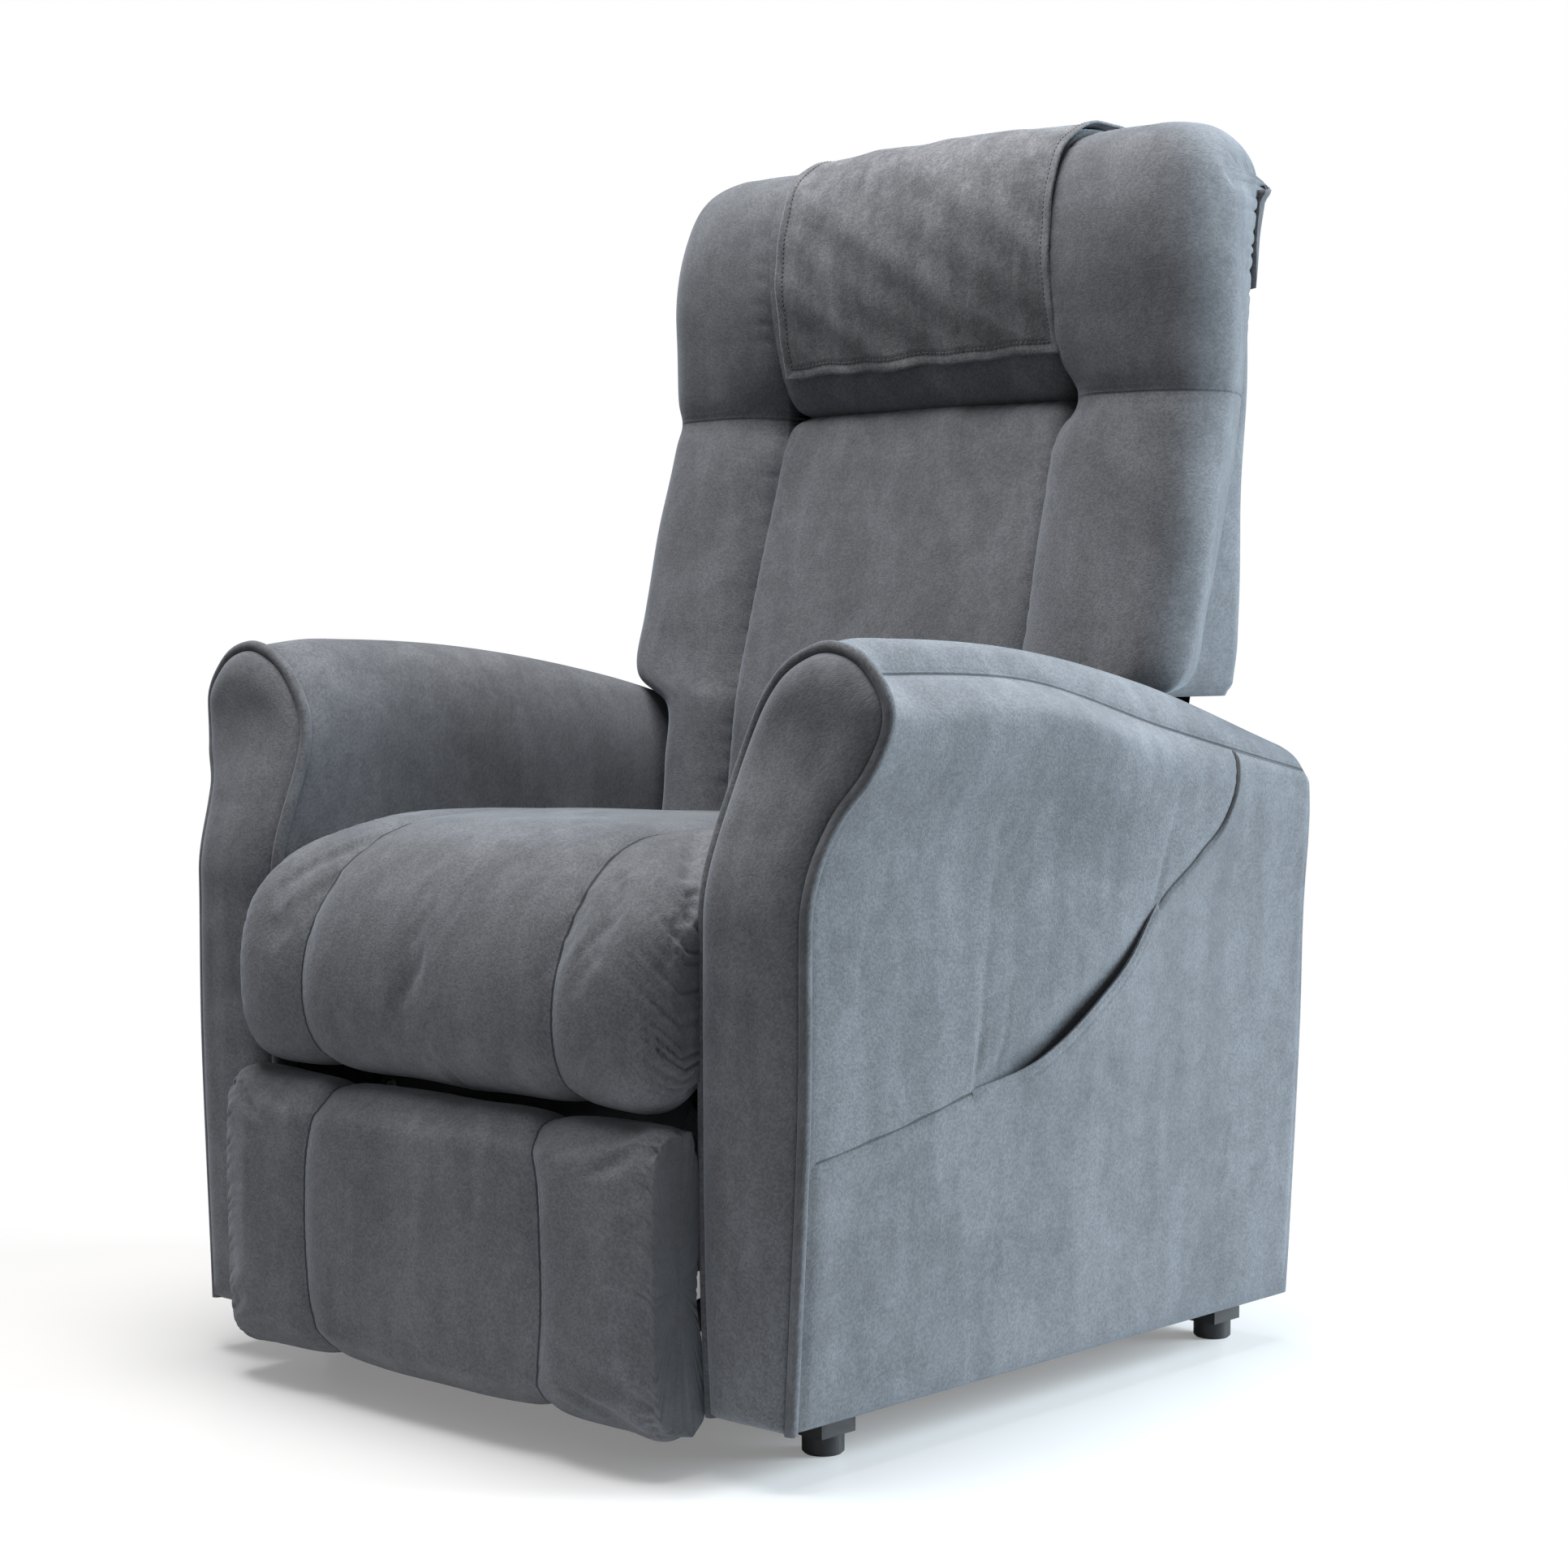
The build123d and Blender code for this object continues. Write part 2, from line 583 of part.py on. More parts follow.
# ============================== Back =================================================================
with BuildPart() as back_brackets:
    for side in (1, -1):
        with BuildSketch(layer(side, back_bracket_x, back_bracket_t)):
            with BuildLine():
                Polyline((bracket_front, bracket_low), (rail_rear, bracket_low),
                         (back_pivot[0] + hinge_r, bracket_neck), (back_pivot[0] + hinge_r, back_pivot[1]),
                         (back_pivot[0] - hinge_r, back_pivot[1]),
                         (back_pivot[0] - hinge_r - 4, bracket_neck),
                         (bracket_front, rail_high - 5), close=True)
            make_face()
            with Locations(back_pivot):
                Circle(hinge_r)
                Circle(pin_r + fit, mode=Mode.SUBTRACT)
        extrude(amount=back_bracket_t)
finish(back_brackets, "back_brackets")


def leaning(points):
    """Points given as (distance behind the leaning plane, height) turned into (y, z)."""
    return [(back_y(z) + d, z) for d, z in points]


def side_prism(from_x, to_x, points):
    """A prism along X with a straight-edged side profile."""
    with BuildPart() as prism:
        with BuildSketch(Plane.YZ.offset(from_x)):
            with BuildLine():
                Polyline(*points, close=True)
            make_face()
        extrude(amount=to_x - from_x)
    return prism


post_profile = leaning(((0, post_low), (post_d, post_low), (post_d, post_high), (0, post_high)))
with BuildPart() as posts:
    for side in (1, -1):
        with BuildSketch(layer(side, post_x, post_w)):
            with BuildLine():
                Polyline(*post_profile, close=True)
            make_face()
        extrude(amount=post_w)
finish(posts, "back_posts")
for label, low, high in (("back_lower_rail", post_low + 5, post_low + 45),
                         ("back_top_rail", post_high - 40, post_high)):
    rail_profile = leaning(((0, low), (post_d, low), (post_d, high), (0, high)))
    finish(side_prism(-post_x, post_x, rail_profile), label)

with BuildPart() as webbing:
    for n in range(web_count):
        low = post_low + 90 + n * (post_high - post_low - 180) / (web_count - 1) - web_h / 2
        strap = leaning(((-web_t, low), (0, low), (0, low + web_h), (-web_t, low + web_h)))
        with BuildSketch(Plane.YZ.offset(-post_x - post_w)):
            with BuildLine():
                Polyline(*strap, close=True)
            make_face()
        extrude(amount=2 * (post_x + post_w))
finish(webbing, "back_webbing")

with BuildPart() as hinge_plates:
    for side in (1, -1):
        with BuildSketch(layer(side, hinge_x, hinge_t)):
            with BuildLine():
                Polyline((back_pivot[0] - hinge_r + 2, back_pivot[1]),
                         (back_pivot[0] + hinge_r - 2, back_pivot[1]),
                         *leaning(((post_d, plate_low), (post_d, plate_high), (0, plate_high),
                                   (0, plate_low))), close=True)
            make_face()
            with Locations(back_pivot):
                Circle(hinge_r)
                Circle(pin_r + fit, mode=Mode.SUBTRACT)
        extrude(amount=hinge_t)
finish(hinge_plates, "back_hinge_plates")

back_crank_point = (back_pivot[0] + back_crank_r * sin(radians(back_crank_lead)),
                    back_pivot[1] - back_crank_r * cos(radians(back_crank_lead)))
with BuildPart() as back_crank:
    for start in (back_motor_x - ear_in - ear_t, back_motor_x + ear_in):
        with BuildSketch(Plane.YZ.offset(start)):
            with BuildLine():
                Polyline(*leaning(((0, post_low + 5), (post_d, post_low + 5))),
                         (back_crank_point[0] + back_eye_r, back_crank_point[1]),
                         (back_crank_point[0] - back_eye_r, back_crank_point[1]), close=True)
            make_face()
            with Locations(back_crank_point):
                Circle(back_eye_r)
                Circle(drive_pin_r, mode=Mode.SUBTRACT)
        extrude(amount=ear_t)
finish(back_crank, "back_crank")
finish(drive_pin(back_motor_x, back_crank_point), "back_crank_pin")
finish(drive_body(back_motor_x, back_motor_base, back_crank_point, back_tube_end, -1), "back_motor")
finish(drive_rod(back_motor_x, back_motor_base, back_crank_point, back_rod_from), "back_motor_rod")


def pad(from_x, to_x, low, front, high):
    """A pad in front of the leaning plane: front is its front curve's points from bottom to top."""
    with BuildPart() as cushion_part:
        with BuildSketch(Plane.YZ.offset(from_x)):
            with BuildLine():
                face = Spline(*front)
                Polyline(face @ 1, (back_y(high) - pad_gap, high), (back_y(low) - pad_gap, low),
                         face @ 0)
            make_face()
        extrude(amount=to_x - from_x)
    return cushion_part


lumbar_face = ((133, pad_low), (150, 585), (190, 720), (222, 830), (250, tuft_z))
finish(pad(-bolster_in, bolster_in, pad_low, lumbar_face, tuft_z), "lumbar_cushion")
head_low = tuft_z + 2


def head_curve():
    """Draws the head cushion's front, crest and roll to the rear in the line that is open."""
    return Spline((254, head_low), (222, 905), (203, 985), (212, 1060), (262, top_z), (330, top_z - 4),
                  (rear_y - 4, top_z - 30), tangents=((-1, 0.3), (0.5, -0.8)))


with BuildPart() as head:
    with BuildSketch(Plane.YZ.offset(-bolster_in)):
        with BuildLine():
            head_face = head_curve()
            add(head_face)
            Polyline(head_face @ 1, (rear_y - 8, shell_high + 2),
                     (back_y(shell_high) - pad_gap, shell_high + 2),
                     (back_y(head_low) - pad_gap, head_low), head_face @ 0)
        make_face()
    extrude(amount=2 * bolster_in)
finish(head, "head_cushion")

with BuildPart() as cover:
    with BuildSketch(Plane.YZ.offset(-cover_half)):
        with BuildLine():
            outer = Spline((213 - cover_t, 920), (203 - cover_t - 1, 985), (212 - cover_t, 1060),
                           (260, top_z + cover_t), (318, 1104 + cover_t))
            back_edge = Line(outer @ 1, (318, 1095))
            Line(back_edge @ 1, (230, 925))
            Line((230, 925), outer @ 0)
        make_face()
    extrude(amount=2 * cover_half)
    with BuildSketch(Plane.YZ.offset(-cover_half - 1)):
        with BuildLine():
            head_again = head_curve()
            add(head_again)
            Polyline(head_again @ 1, (rear_y, 900), (300, 700), head_again @ 0)
        make_face()
    extrude(amount=2 * cover_half + 2, mode=Mode.SUBTRACT)
finish(cover, "headrest_cover")

wing_foot = (188.0, wing_z)
for side, name in ((1, "right"), (-1, "left")):
    with BuildPart() as bolster:
        wing_from = bolster_in if side > 0 else -wing_out
        with BuildSketch(Plane.YZ.offset(wing_from)):
            with BuildLine():
                wing_face = Spline(wing_foot, (205, 720), (222, 850), (214, 940), (210, 1000), (232, 1062),
                                   (290, 1094), (360, 1088), (rear_y, 1062))
                Polyline(wing_face @ 1, (rear_y - 6, shell_high + 2),
                         (back_y(shell_high) - pad_gap, shell_high + 2),
                         (back_y(wing_z) - pad_gap, wing_z), wing_face @ 0)
            make_face()
        extrude(amount=wing_out - bolster_in)
        low_from = bolster_in if side > 0 else -bolster_low_out
        with BuildSketch(Plane.YZ.offset(low_from)):
            with BuildLine():
                low_face = Line((128, pad_low), wing_foot)
                Polyline(low_face @ 1, (back_y(wing_z) - pad_gap, wing_z),
                         (back_y(pad_low) - pad_gap, pad_low), low_face @ 0)
            make_face()
        extrude(amount=bolster_low_out - bolster_in)
    finish(bolster, f"back_bolster_{name}")

with BuildPart() as shell:
    with BuildSketch(Plane.YZ.offset(-shell_half)):
        with BuildLine():
            Polyline((back_y(shell_low), shell_low), (shell_foot_y, shell_low), (shell_head_y, shell_high),
                     (back_y(shell_high), shell_high), close=True)
        make_face()
    extrude(amount=2 * shell_half)
    with BuildSketch(Plane.YZ.offset(-shell_half + shell_wall)):
        with BuildLine():
            Polyline((back_y(shell_low - 20) - 30, shell_low - 20),
                     (shell_foot_y - shell_wall, shell_low - 20),
                     (shell_head_y - shell_wall, shell_high + 20),
                     (back_y(shell_high + 20) - 30, shell_high + 20), close=True)
        make_face()
    extrude(amount=2 * (shell_half - shell_wall), mode=Mode.SUBTRACT)
finish(shell, "back_shell")

skirt_y, skirt_t, skirt_lap = shell_foot_y - shell_wall - 1, 3.0, 30.0
skirt_points = ((300, 470), (302, 466), (skirt_y, shell_low - 4), (skirt_y, shell_low + skirt_lap),
                (skirt_y - skirt_t, shell_low + skirt_lap), (skirt_y - skirt_t, shell_low - 3))
finish(side_prism(-bolster_low_out, bolster_low_out, skirt_points), "back_skirt")

# ============================== Footrest =============================================================
finish(both_sides(link, rear_link_x, link_t, foot_pivot, foot_elbow, foot_link_w, pin_r + fit, pin_r + fit),
       "footrest_rear_links")
finish(both_sides(link, front_link_x, link_t, foot_elbow, foot_tip, foot_link_w, pin_r + fit, pin_r + fit),
       "footrest_front_links")
for label, point, start, end in (
        ("footrest_elbow_pins", foot_elbow, front_link_x - 1, rear_link_x + link_t),
        ("footrest_board_pins", foot_tip, foot_bracket_x - 1, front_link_x + link_t)):
    with BuildPart() as foot_pins:
        for side in (1, -1):
            with BuildSketch(Plane.YZ.offset(start if side > 0 else -end)):
                with Locations(point):
                    Circle(pin_r)
            extrude(amount=end - start)
    finish(foot_pins, label)

with BuildPart() as foot_brackets:
    for side in (1, -1):
        with BuildSketch(layer(side, foot_bracket_x, link_t)):
            with BuildLine():
                Polyline((board_y + board_t, foot_tip[1] - foot_bracket_down),
                         (board_y + board_t, foot_tip[1] + foot_bracket_up),
                         (foot_tip[0], foot_tip[1] + foot_bracket_r),
                         (foot_tip[0], foot_tip[1] - foot_bracket_r), close=True)
            make_face()
            with Locations(foot_tip):
                Circle(foot_bracket_r)
                Circle(pin_r + fit, mode=Mode.SUBTRACT)
        extrude(amount=link_t)
finish(foot_brackets, "footrest_brackets")

with BuildPart() as board:
    with BuildSketch(Plane.XZ.offset(-board_y - board_t)):
        with Locations((0, (foot_low + foot_high) / 2)):
            Rectangle(2 * (foot_half - board_inset), foot_high - foot_low - 2 * board_inset)
    extrude(amount=board_t)
finish(board, "footrest_board")

with BuildPart() as foot_pad:
    with BuildSketch(Plane.YZ.offset(-foot_half)):
        with BuildLine():
            under = Line((board_y, foot_low), (front_y + foot_low_r, foot_low))
            corner = TangentArc(under @ 1, (front_y, foot_low + foot_low_r), tangent=(-1, 0))
            face = Line(corner @ 1, (front_y, foot_high - foot_top_h))
            roll_in = TangentArc(face @ 1, (board_y, foot_high), tangent=(0, 1))
            Line(roll_in @ 1, under @ 0)
        make_face()
    extrude(amount=2 * foot_half)
finish(foot_pad, "footrest_pad")
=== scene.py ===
"""Looks of a power rise-and-recline armchair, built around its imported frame.

Metres throughout, in the frame's own axes: -Y is the sitter's front, +X the viewer's right seen from
the front, +Z up. Each sub-assembly is a class that builds its own meshes and dresses them.
"""

import json
import logging
import math
from dataclasses import dataclass, field
from enum import Enum

import bmesh
import bpy
import numpy as np
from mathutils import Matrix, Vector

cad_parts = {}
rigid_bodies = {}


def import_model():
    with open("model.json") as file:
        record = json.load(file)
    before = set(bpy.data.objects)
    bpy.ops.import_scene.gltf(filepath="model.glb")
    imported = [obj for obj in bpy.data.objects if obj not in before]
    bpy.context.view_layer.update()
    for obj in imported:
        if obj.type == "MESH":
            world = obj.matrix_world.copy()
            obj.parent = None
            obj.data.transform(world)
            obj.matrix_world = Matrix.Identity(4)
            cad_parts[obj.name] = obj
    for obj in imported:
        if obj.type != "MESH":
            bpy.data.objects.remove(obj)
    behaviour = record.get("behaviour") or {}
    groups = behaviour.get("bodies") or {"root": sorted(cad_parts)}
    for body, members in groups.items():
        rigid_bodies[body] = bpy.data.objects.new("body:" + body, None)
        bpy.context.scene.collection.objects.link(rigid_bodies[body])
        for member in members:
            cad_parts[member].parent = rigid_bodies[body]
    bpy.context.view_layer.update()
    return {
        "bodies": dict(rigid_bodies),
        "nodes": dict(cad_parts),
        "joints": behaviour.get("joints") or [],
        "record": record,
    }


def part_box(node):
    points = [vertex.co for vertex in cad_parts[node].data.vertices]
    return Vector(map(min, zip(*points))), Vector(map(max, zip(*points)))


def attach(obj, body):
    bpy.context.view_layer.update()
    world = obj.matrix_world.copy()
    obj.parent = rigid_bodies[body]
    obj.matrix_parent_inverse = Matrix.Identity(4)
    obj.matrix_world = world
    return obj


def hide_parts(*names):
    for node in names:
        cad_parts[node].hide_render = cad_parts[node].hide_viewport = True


log = logging.getLogger("armchair")
Point = tuple[float, float]


class Side(Enum):
    """Which side of the chair, as the sign of X."""

    RIGHT = 1
    LEFT = -1

    @property
    def label(self) -> str:
        """The side's name as it stands in node names."""
        return self.name.lower()


# ============================== Curves and grids ==================================================
def spline(knots: np.ndarray, values: np.ndarray, at: np.ndarray) -> np.ndarray:
    """Smooth curve through values, held flat beyond its ends.

    Cubic Hermite pieces: each knot's slope is the weighted difference of its neighbours.

    Args:
        knots: increasing parameters, (k,).
        values: value at each knot, (k, ...).
        at: parameters wanted, any shape.

    Returns:
        Values, with at's shape before the values' own.
    """
    k, v, t = np.asarray(knots, float), np.asarray(values, float), np.asarray(at, float)
    slopes = np.gradient(v, k, axis=0)
    i = np.clip(np.searchsorted(k, t, side="right") - 1, 0, len(k) - 2)
    more = (1,) * (v.ndim - 1)
    h = (k[i + 1] - k[i]).reshape(t.shape + more)
    s = np.clip((t - k[i]) / (k[i + 1] - k[i]), 0, 1).reshape(t.shape + more)
    return ((2 * s**3 - 3 * s**2 + 1) * v[i] + (s**3 - 2 * s**2 + s) * h * slopes[i]
            + (3 * s**2 - 2 * s**3) * v[i + 1] + (s**3 - s**2) * h * slopes[i + 1])


def spline_rows(values: np.ndarray, at: np.ndarray) -> np.ndarray:
    """One smooth curve per row, through that row's own points at parameters 0, 1, 2 and so on.

    Args:
        values: points, (rows, k, d).
        at: parameters wanted in each row, (rows, n).

    Returns:
        Points, (rows, n, d).
    """
    slopes = np.gradient(values, axis=1)
    i = np.clip(at.astype(int), 0, values.shape[1] - 2)
    s = np.clip(at - i, 0, 1)[..., None]
    pick = np.arange(len(values))[:, None]
    return ((2 * s**3 - 3 * s**2 + 1) * values[pick, i] + (s**3 - 2 * s**2 + s) * slopes[pick, i]
            + (3 * s**2 - 2 * s**3) * values[pick, i + 1] + (s**3 - s**2) * slopes[pick, i + 1])


def ease(x: np.ndarray, low: float, high: float) -> np.ndarray:
    """Smooth step from 0 at low to 1 at high."""
    t = np.clip((x - low) / (high - low), 0, 1)
    return t * t * (3 - 2 * t)


def bell(distance: np.ndarray, width: float) -> np.ndarray:
    """Bell curve: 1 at no distance, a third at one width."""
    return np.exp(-(distance / width) ** 2)


def round_over(share: np.ndarray) -> np.ndarray:
    """Fall of a quarter circle, as a share of its radius: 1 at share 0, nothing from share 1 on."""
    return 1 - np.sqrt(np.clip(1 - (1 - share) ** 2, 0, 1))


def length_run(line: np.ndarray) -> np.ndarray:
    """Length run from a line's first point, at each of its points."""
    return np.concatenate([[0], np.cumsum(np.linalg.norm(np.diff(line, axis=0), axis=1))])


def unit(vectors: np.ndarray) -> np.ndarray:
    """Rows of vectors, each made one long."""
    return vectors / np.linalg.norm(vectors, axis=1, keepdims=True)


def waver(t: np.ndarray, lengths: tuple[float, ...], seed: int) -> np.ndarray:
    """Uneven wave from -1 to 1: the mean of sines of these lengths with fixed random phases."""
    phases = np.random.default_rng(seed).uniform(0, 2 * math.pi, len(lengths))
    return sum(np.sin(2 * math.pi * t / size + phase) for size, phase in zip(lengths, phases)) / len(lengths)


def gathers(along: np.ndarray, away: np.ndarray, reach: float, pitch: float, depth: float,
            seed: int) -> np.ndarray:
    """Depth of fine folds that a seam's thread draws into cloth: sharp creases that fade with distance.

    Args:
        along: distance along the seam.
        away: distance from the seam.
        reach: how far the folds run into the cloth.
        pitch: mean distance between creases.
        depth: deepest crease.
        seed: fixes the creases' uneven spacing.

    Returns:
        Offsets along the surface's normal, 0 or less.
    """
    phase = along / pitch + 0.35 * waver(along, (pitch * 3.1, pitch * 5.3), seed)
    uneven = 0.65 + 0.35 * waver(along, (pitch * 2.3, pitch * 7.0), seed + 1)
    return -depth * uneven * (1 - np.abs(np.sin(math.pi * phase))) ** 2 * np.exp(-np.abs(away) / reach)


def normals(grid: np.ndarray) -> np.ndarray:
    """Unit normals of a grid of points: the cross product of its differences along rows and columns."""
    n = np.cross(np.gradient(grid, axis=0), np.gradient(grid, axis=1))
    return n / np.maximum(np.linalg.norm(n, axis=-1, keepdims=True), 1e-9)


def distances(grid: np.ndarray) -> tuple[np.ndarray, np.ndarray]:
    """Length run from the first column, and from the first row, at each point of a grid."""
    def run(axis: int) -> np.ndarray:
        """Length run along one axis of the grid."""
        steps = np.linalg.norm(np.diff(grid, axis=axis), axis=-1)
        return np.concatenate([np.zeros_like(np.take(steps, [0], axis)), np.cumsum(steps, axis)], axis)
    return run(1), run(0)


def quads(rows: int, cols: int, wrap: bool = False, start: int = 0) -> np.ndarray:
    """Four corner numbers of each cell of a grid of vertices.

    Args:
        rows: rows of the grid.
        cols: columns of the grid.
        wrap: joins the last column to the first.
        start: number of the grid's first vertex.

    Returns:
        Corner numbers, (cells, 4).
    """
    r = np.arange(rows - 1)[:, None]
    c = np.arange(cols if wrap else cols - 1)[None, :]
    a, b = r * cols + c, r * cols + (c + 1) % cols
    return (np.stack([a, b, b + cols, a + cols], -1) + start).reshape(-1, 4)


def gap(points: np.ndarray, line: np.ndarray) -> np.ndarray:
    """Least distance from each point (..., 2) to a line of straight pieces (n, 2)."""
    least = np.full(points.shape[:-1], 1.0)
    for start, end in zip(line[:-1], line[1:]):
        step = end - start
        share = np.clip(((points - start) @ step) / max(float(step @ step), 1e-12), 0, 1)
        least = np.minimum(least, np.linalg.norm(points - start - share[..., None] * step, axis=-1))
    return least


@dataclass
class Mesh:
    """Vertices and faces of one closed piece, its cloth coordinates, and its distances from seams.

    Seam distances are signed and stored one metre up, so that a piece without them has none near.
    """

    points: np.ndarray
    faces: list
    cloth: np.ndarray
    seams: np.ndarray


def seam_field(shape: tuple[int, ...], seams: tuple[np.ndarray, ...]) -> np.ndarray:
    """Up to three signed seam distances at each point of a grid, stored one metre up, (points, 3)."""
    layers = [np.broadcast_to(one, shape) for one in seams] + [np.ones(shape)] * (3 - len(seams))
    return 1.0 + np.stack(layers, -1).reshape(-1, 3)


def tube(grid: np.ndarray, *seams: np.ndarray) -> Mesh:
    """Closed piece from rows of closed loops: the two end loops are filled by fans to their centres."""
    rows, cols, _ = grid.shape
    sewn = np.concatenate([seam_field(grid.shape[:2], seams), np.full((2, 3), 2.0)])
    across, down = distances(grid)
    ends = np.array([grid[0].mean(0), grid[-1].mean(0)])
    points = np.concatenate([grid.reshape(-1, 3), ends])
    ring = np.arange(cols)
    following, last, n = (ring + 1) % cols, (rows - 1) * cols, rows * cols
    fans = np.concatenate([np.stack([following, ring, np.full(cols, n)], -1),
                           np.stack([last + ring, last + following, np.full(cols, n + 1)], -1)])
    cloth = np.concatenate([np.stack([across, down, across * 0], -1).reshape(-1, 3), np.zeros((2, 3))])
    return Mesh(points, quads(rows, cols, wrap=True).tolist() + fans.tolist(), cloth, sewn)


def slab(front: np.ndarray, back: np.ndarray, *seams: np.ndarray) -> Mesh:
    """Closed piece from a front grid and a back grid of the same shape, joined all round their edges."""
    rows, cols, _ = front.shape
    n = rows * cols
    across, down = distances(front)
    top, bottom = np.arange(cols), (rows - 1) * cols + np.arange(cols)
    left, right = np.arange(rows) * cols, np.arange(rows) * cols + cols - 1
    rim = np.concatenate([top, right[1:], bottom[::-1][1:], left[::-1][1:-1]])
    after = np.roll(rim, -1)
    sides = np.stack([after, rim, rim + n, after + n], -1)
    faces = np.concatenate([quads(rows, cols), quads(rows, cols, start=n)[:, ::-1], sides])
    cloth = np.stack([across, down, across * 0], -1).reshape(-1, 3)
    sewn = seam_field((rows, cols), seams)
    return Mesh(np.concatenate([front.reshape(-1, 3), back.reshape(-1, 3)]), faces.tolist(),
                np.concatenate([cloth, cloth]), np.concatenate([sewn, sewn]))


def welt(path: np.ndarray, radius: float, sides: int = 14) -> Mesh:
    """Round bead along a path that lies close to an upright plane.

    Args:
        path: centre points, (n, 3).
        radius: the bead's radius.
        sides: points round it.

    Returns:
        The closed bead.
    """
    along = unit(np.gradient(path, axis=0))
    out = unit(np.cross(along, [0.0, 1.0, 0.0]))
    up = np.cross(along, out)
    turn = np.linspace(0, 2 * math.pi, sides, endpoint=False)[None, :, None]
    return tube(path[:, None] + radius * (np.cos(turn) * out[:, None] + np.sin(turn) * up[:, None]))


def link(name: str, data: bpy.types.ID) -> bpy.types.Object:
    """Puts a mesh, a lamp or a camera into the scene as a new object at the origin."""
    piece = bpy.data.objects.new(name, data)
    bpy.context.scene.collection.objects.link(piece)
    return piece


def make(name: str, mesh: Mesh, material: bpy.types.Material, body: str,
         stands_for: tuple[str, ...] = ()) -> bpy.types.Object:
    """Puts a closed piece into the scene, faces outwards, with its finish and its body.

    Args:
        name: the piece's name.
        mesh: its vertices and faces.
        material: its finish.
        body: CAD body it rides on.
        stands_for: CAD nodes it replaces.

    Returns:
        The finished object.
    """
    data = bpy.data.meshes.new(name)
    data.from_pydata(mesh.points.tolist(), [], mesh.faces)
    work = bmesh.new()
    work.from_mesh(data)
    bmesh.ops.recalc_face_normals(work, faces=work.faces)
    work.to_mesh(data)
    work.free()
    data.attributes.new("cloth", "FLOAT_VECTOR", "POINT").data.foreach_set("vector", mesh.cloth.ravel())
    data.attributes.new("seam", "FLOAT_VECTOR", "POINT").data.foreach_set("vector", mesh.seams.ravel())
    data.shade_smooth()
    data.materials.append(material)
    piece = link(name, data)
    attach(piece, body)
    if stands_for:
        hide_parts(*stands_for)
    log.info("%s: %d vertices", name, len(data.vertices))
    return piece


def inflate(grid: np.ndarray, cap: float, hold: np.ndarray, pressure: float = 4.0) -> np.ndarray:
    """Lets a coarse cloth bag of rows of closed loops swell under air pressure, and returns its shape.

    Args:
        grid: rows of closed loops, (rows, cols, 3).
        cap: the furthest that a point may move.
        hold: how firmly each point is held, from 0 to 1, (rows, cols).
        pressure: air pressure of the simulation.

    Returns:
        The swollen grid.
    """
    mesh = tube(grid)
    data = bpy.data.meshes.new("bag")
    data.from_pydata(mesh.points.tolist(), [], mesh.faces)
    bag = link("bag", data)
    held = bag.vertex_groups.new(name="held")
    for number in np.flatnonzero(hold.ravel() > 0.02):
        held.add([int(number)], float(hold.ravel()[number]), "REPLACE")
    cloth = bag.modifiers.new("cloth", "CLOTH")
    cloth.settings.use_pressure = True
    cloth.settings.uniform_pressure_force = pressure
    cloth.settings.effector_weights.gravity = 0
    cloth.settings.vertex_group_mass = "held"
    scene = bpy.context.scene
    for frame_number in range(1, 21):
        scene.frame_set(frame_number)
    shape = bag.evaluated_get(bpy.context.evaluated_depsgraph_get()).to_mesh()
    moved = np.zeros(len(shape.vertices) * 3, np.float32)
    shape.vertices.foreach_get("co", moved)
    scene.frame_set(1)
    bpy.data.objects.remove(bag)
    rows, cols, _ = grid.shape
    shift = moved.reshape(-1, 3)[:rows * cols].reshape(grid.shape) - grid
    length = np.maximum(np.linalg.norm(shift, axis=-1, keepdims=True), 1e-9)
    return grid + shift * np.minimum(length, cap) / length


def finer(grid: np.ndarray, rows: int, cols: int) -> np.ndarray:
    """A grid of closed loops, smoothly resampled to more rows and columns."""
    wide = np.concatenate([grid[:, -2:], grid, grid[:, :3]], axis=1)
    tall = spline(np.arange(len(wide)), wide, np.linspace(0, len(wide) - 1, rows))
    at = 2 + np.arange(cols) * grid.shape[1] / cols
    return np.swapaxes(spline(np.arange(wide.shape[1]), np.swapaxes(tall, 0, 1), at), 0, 1)


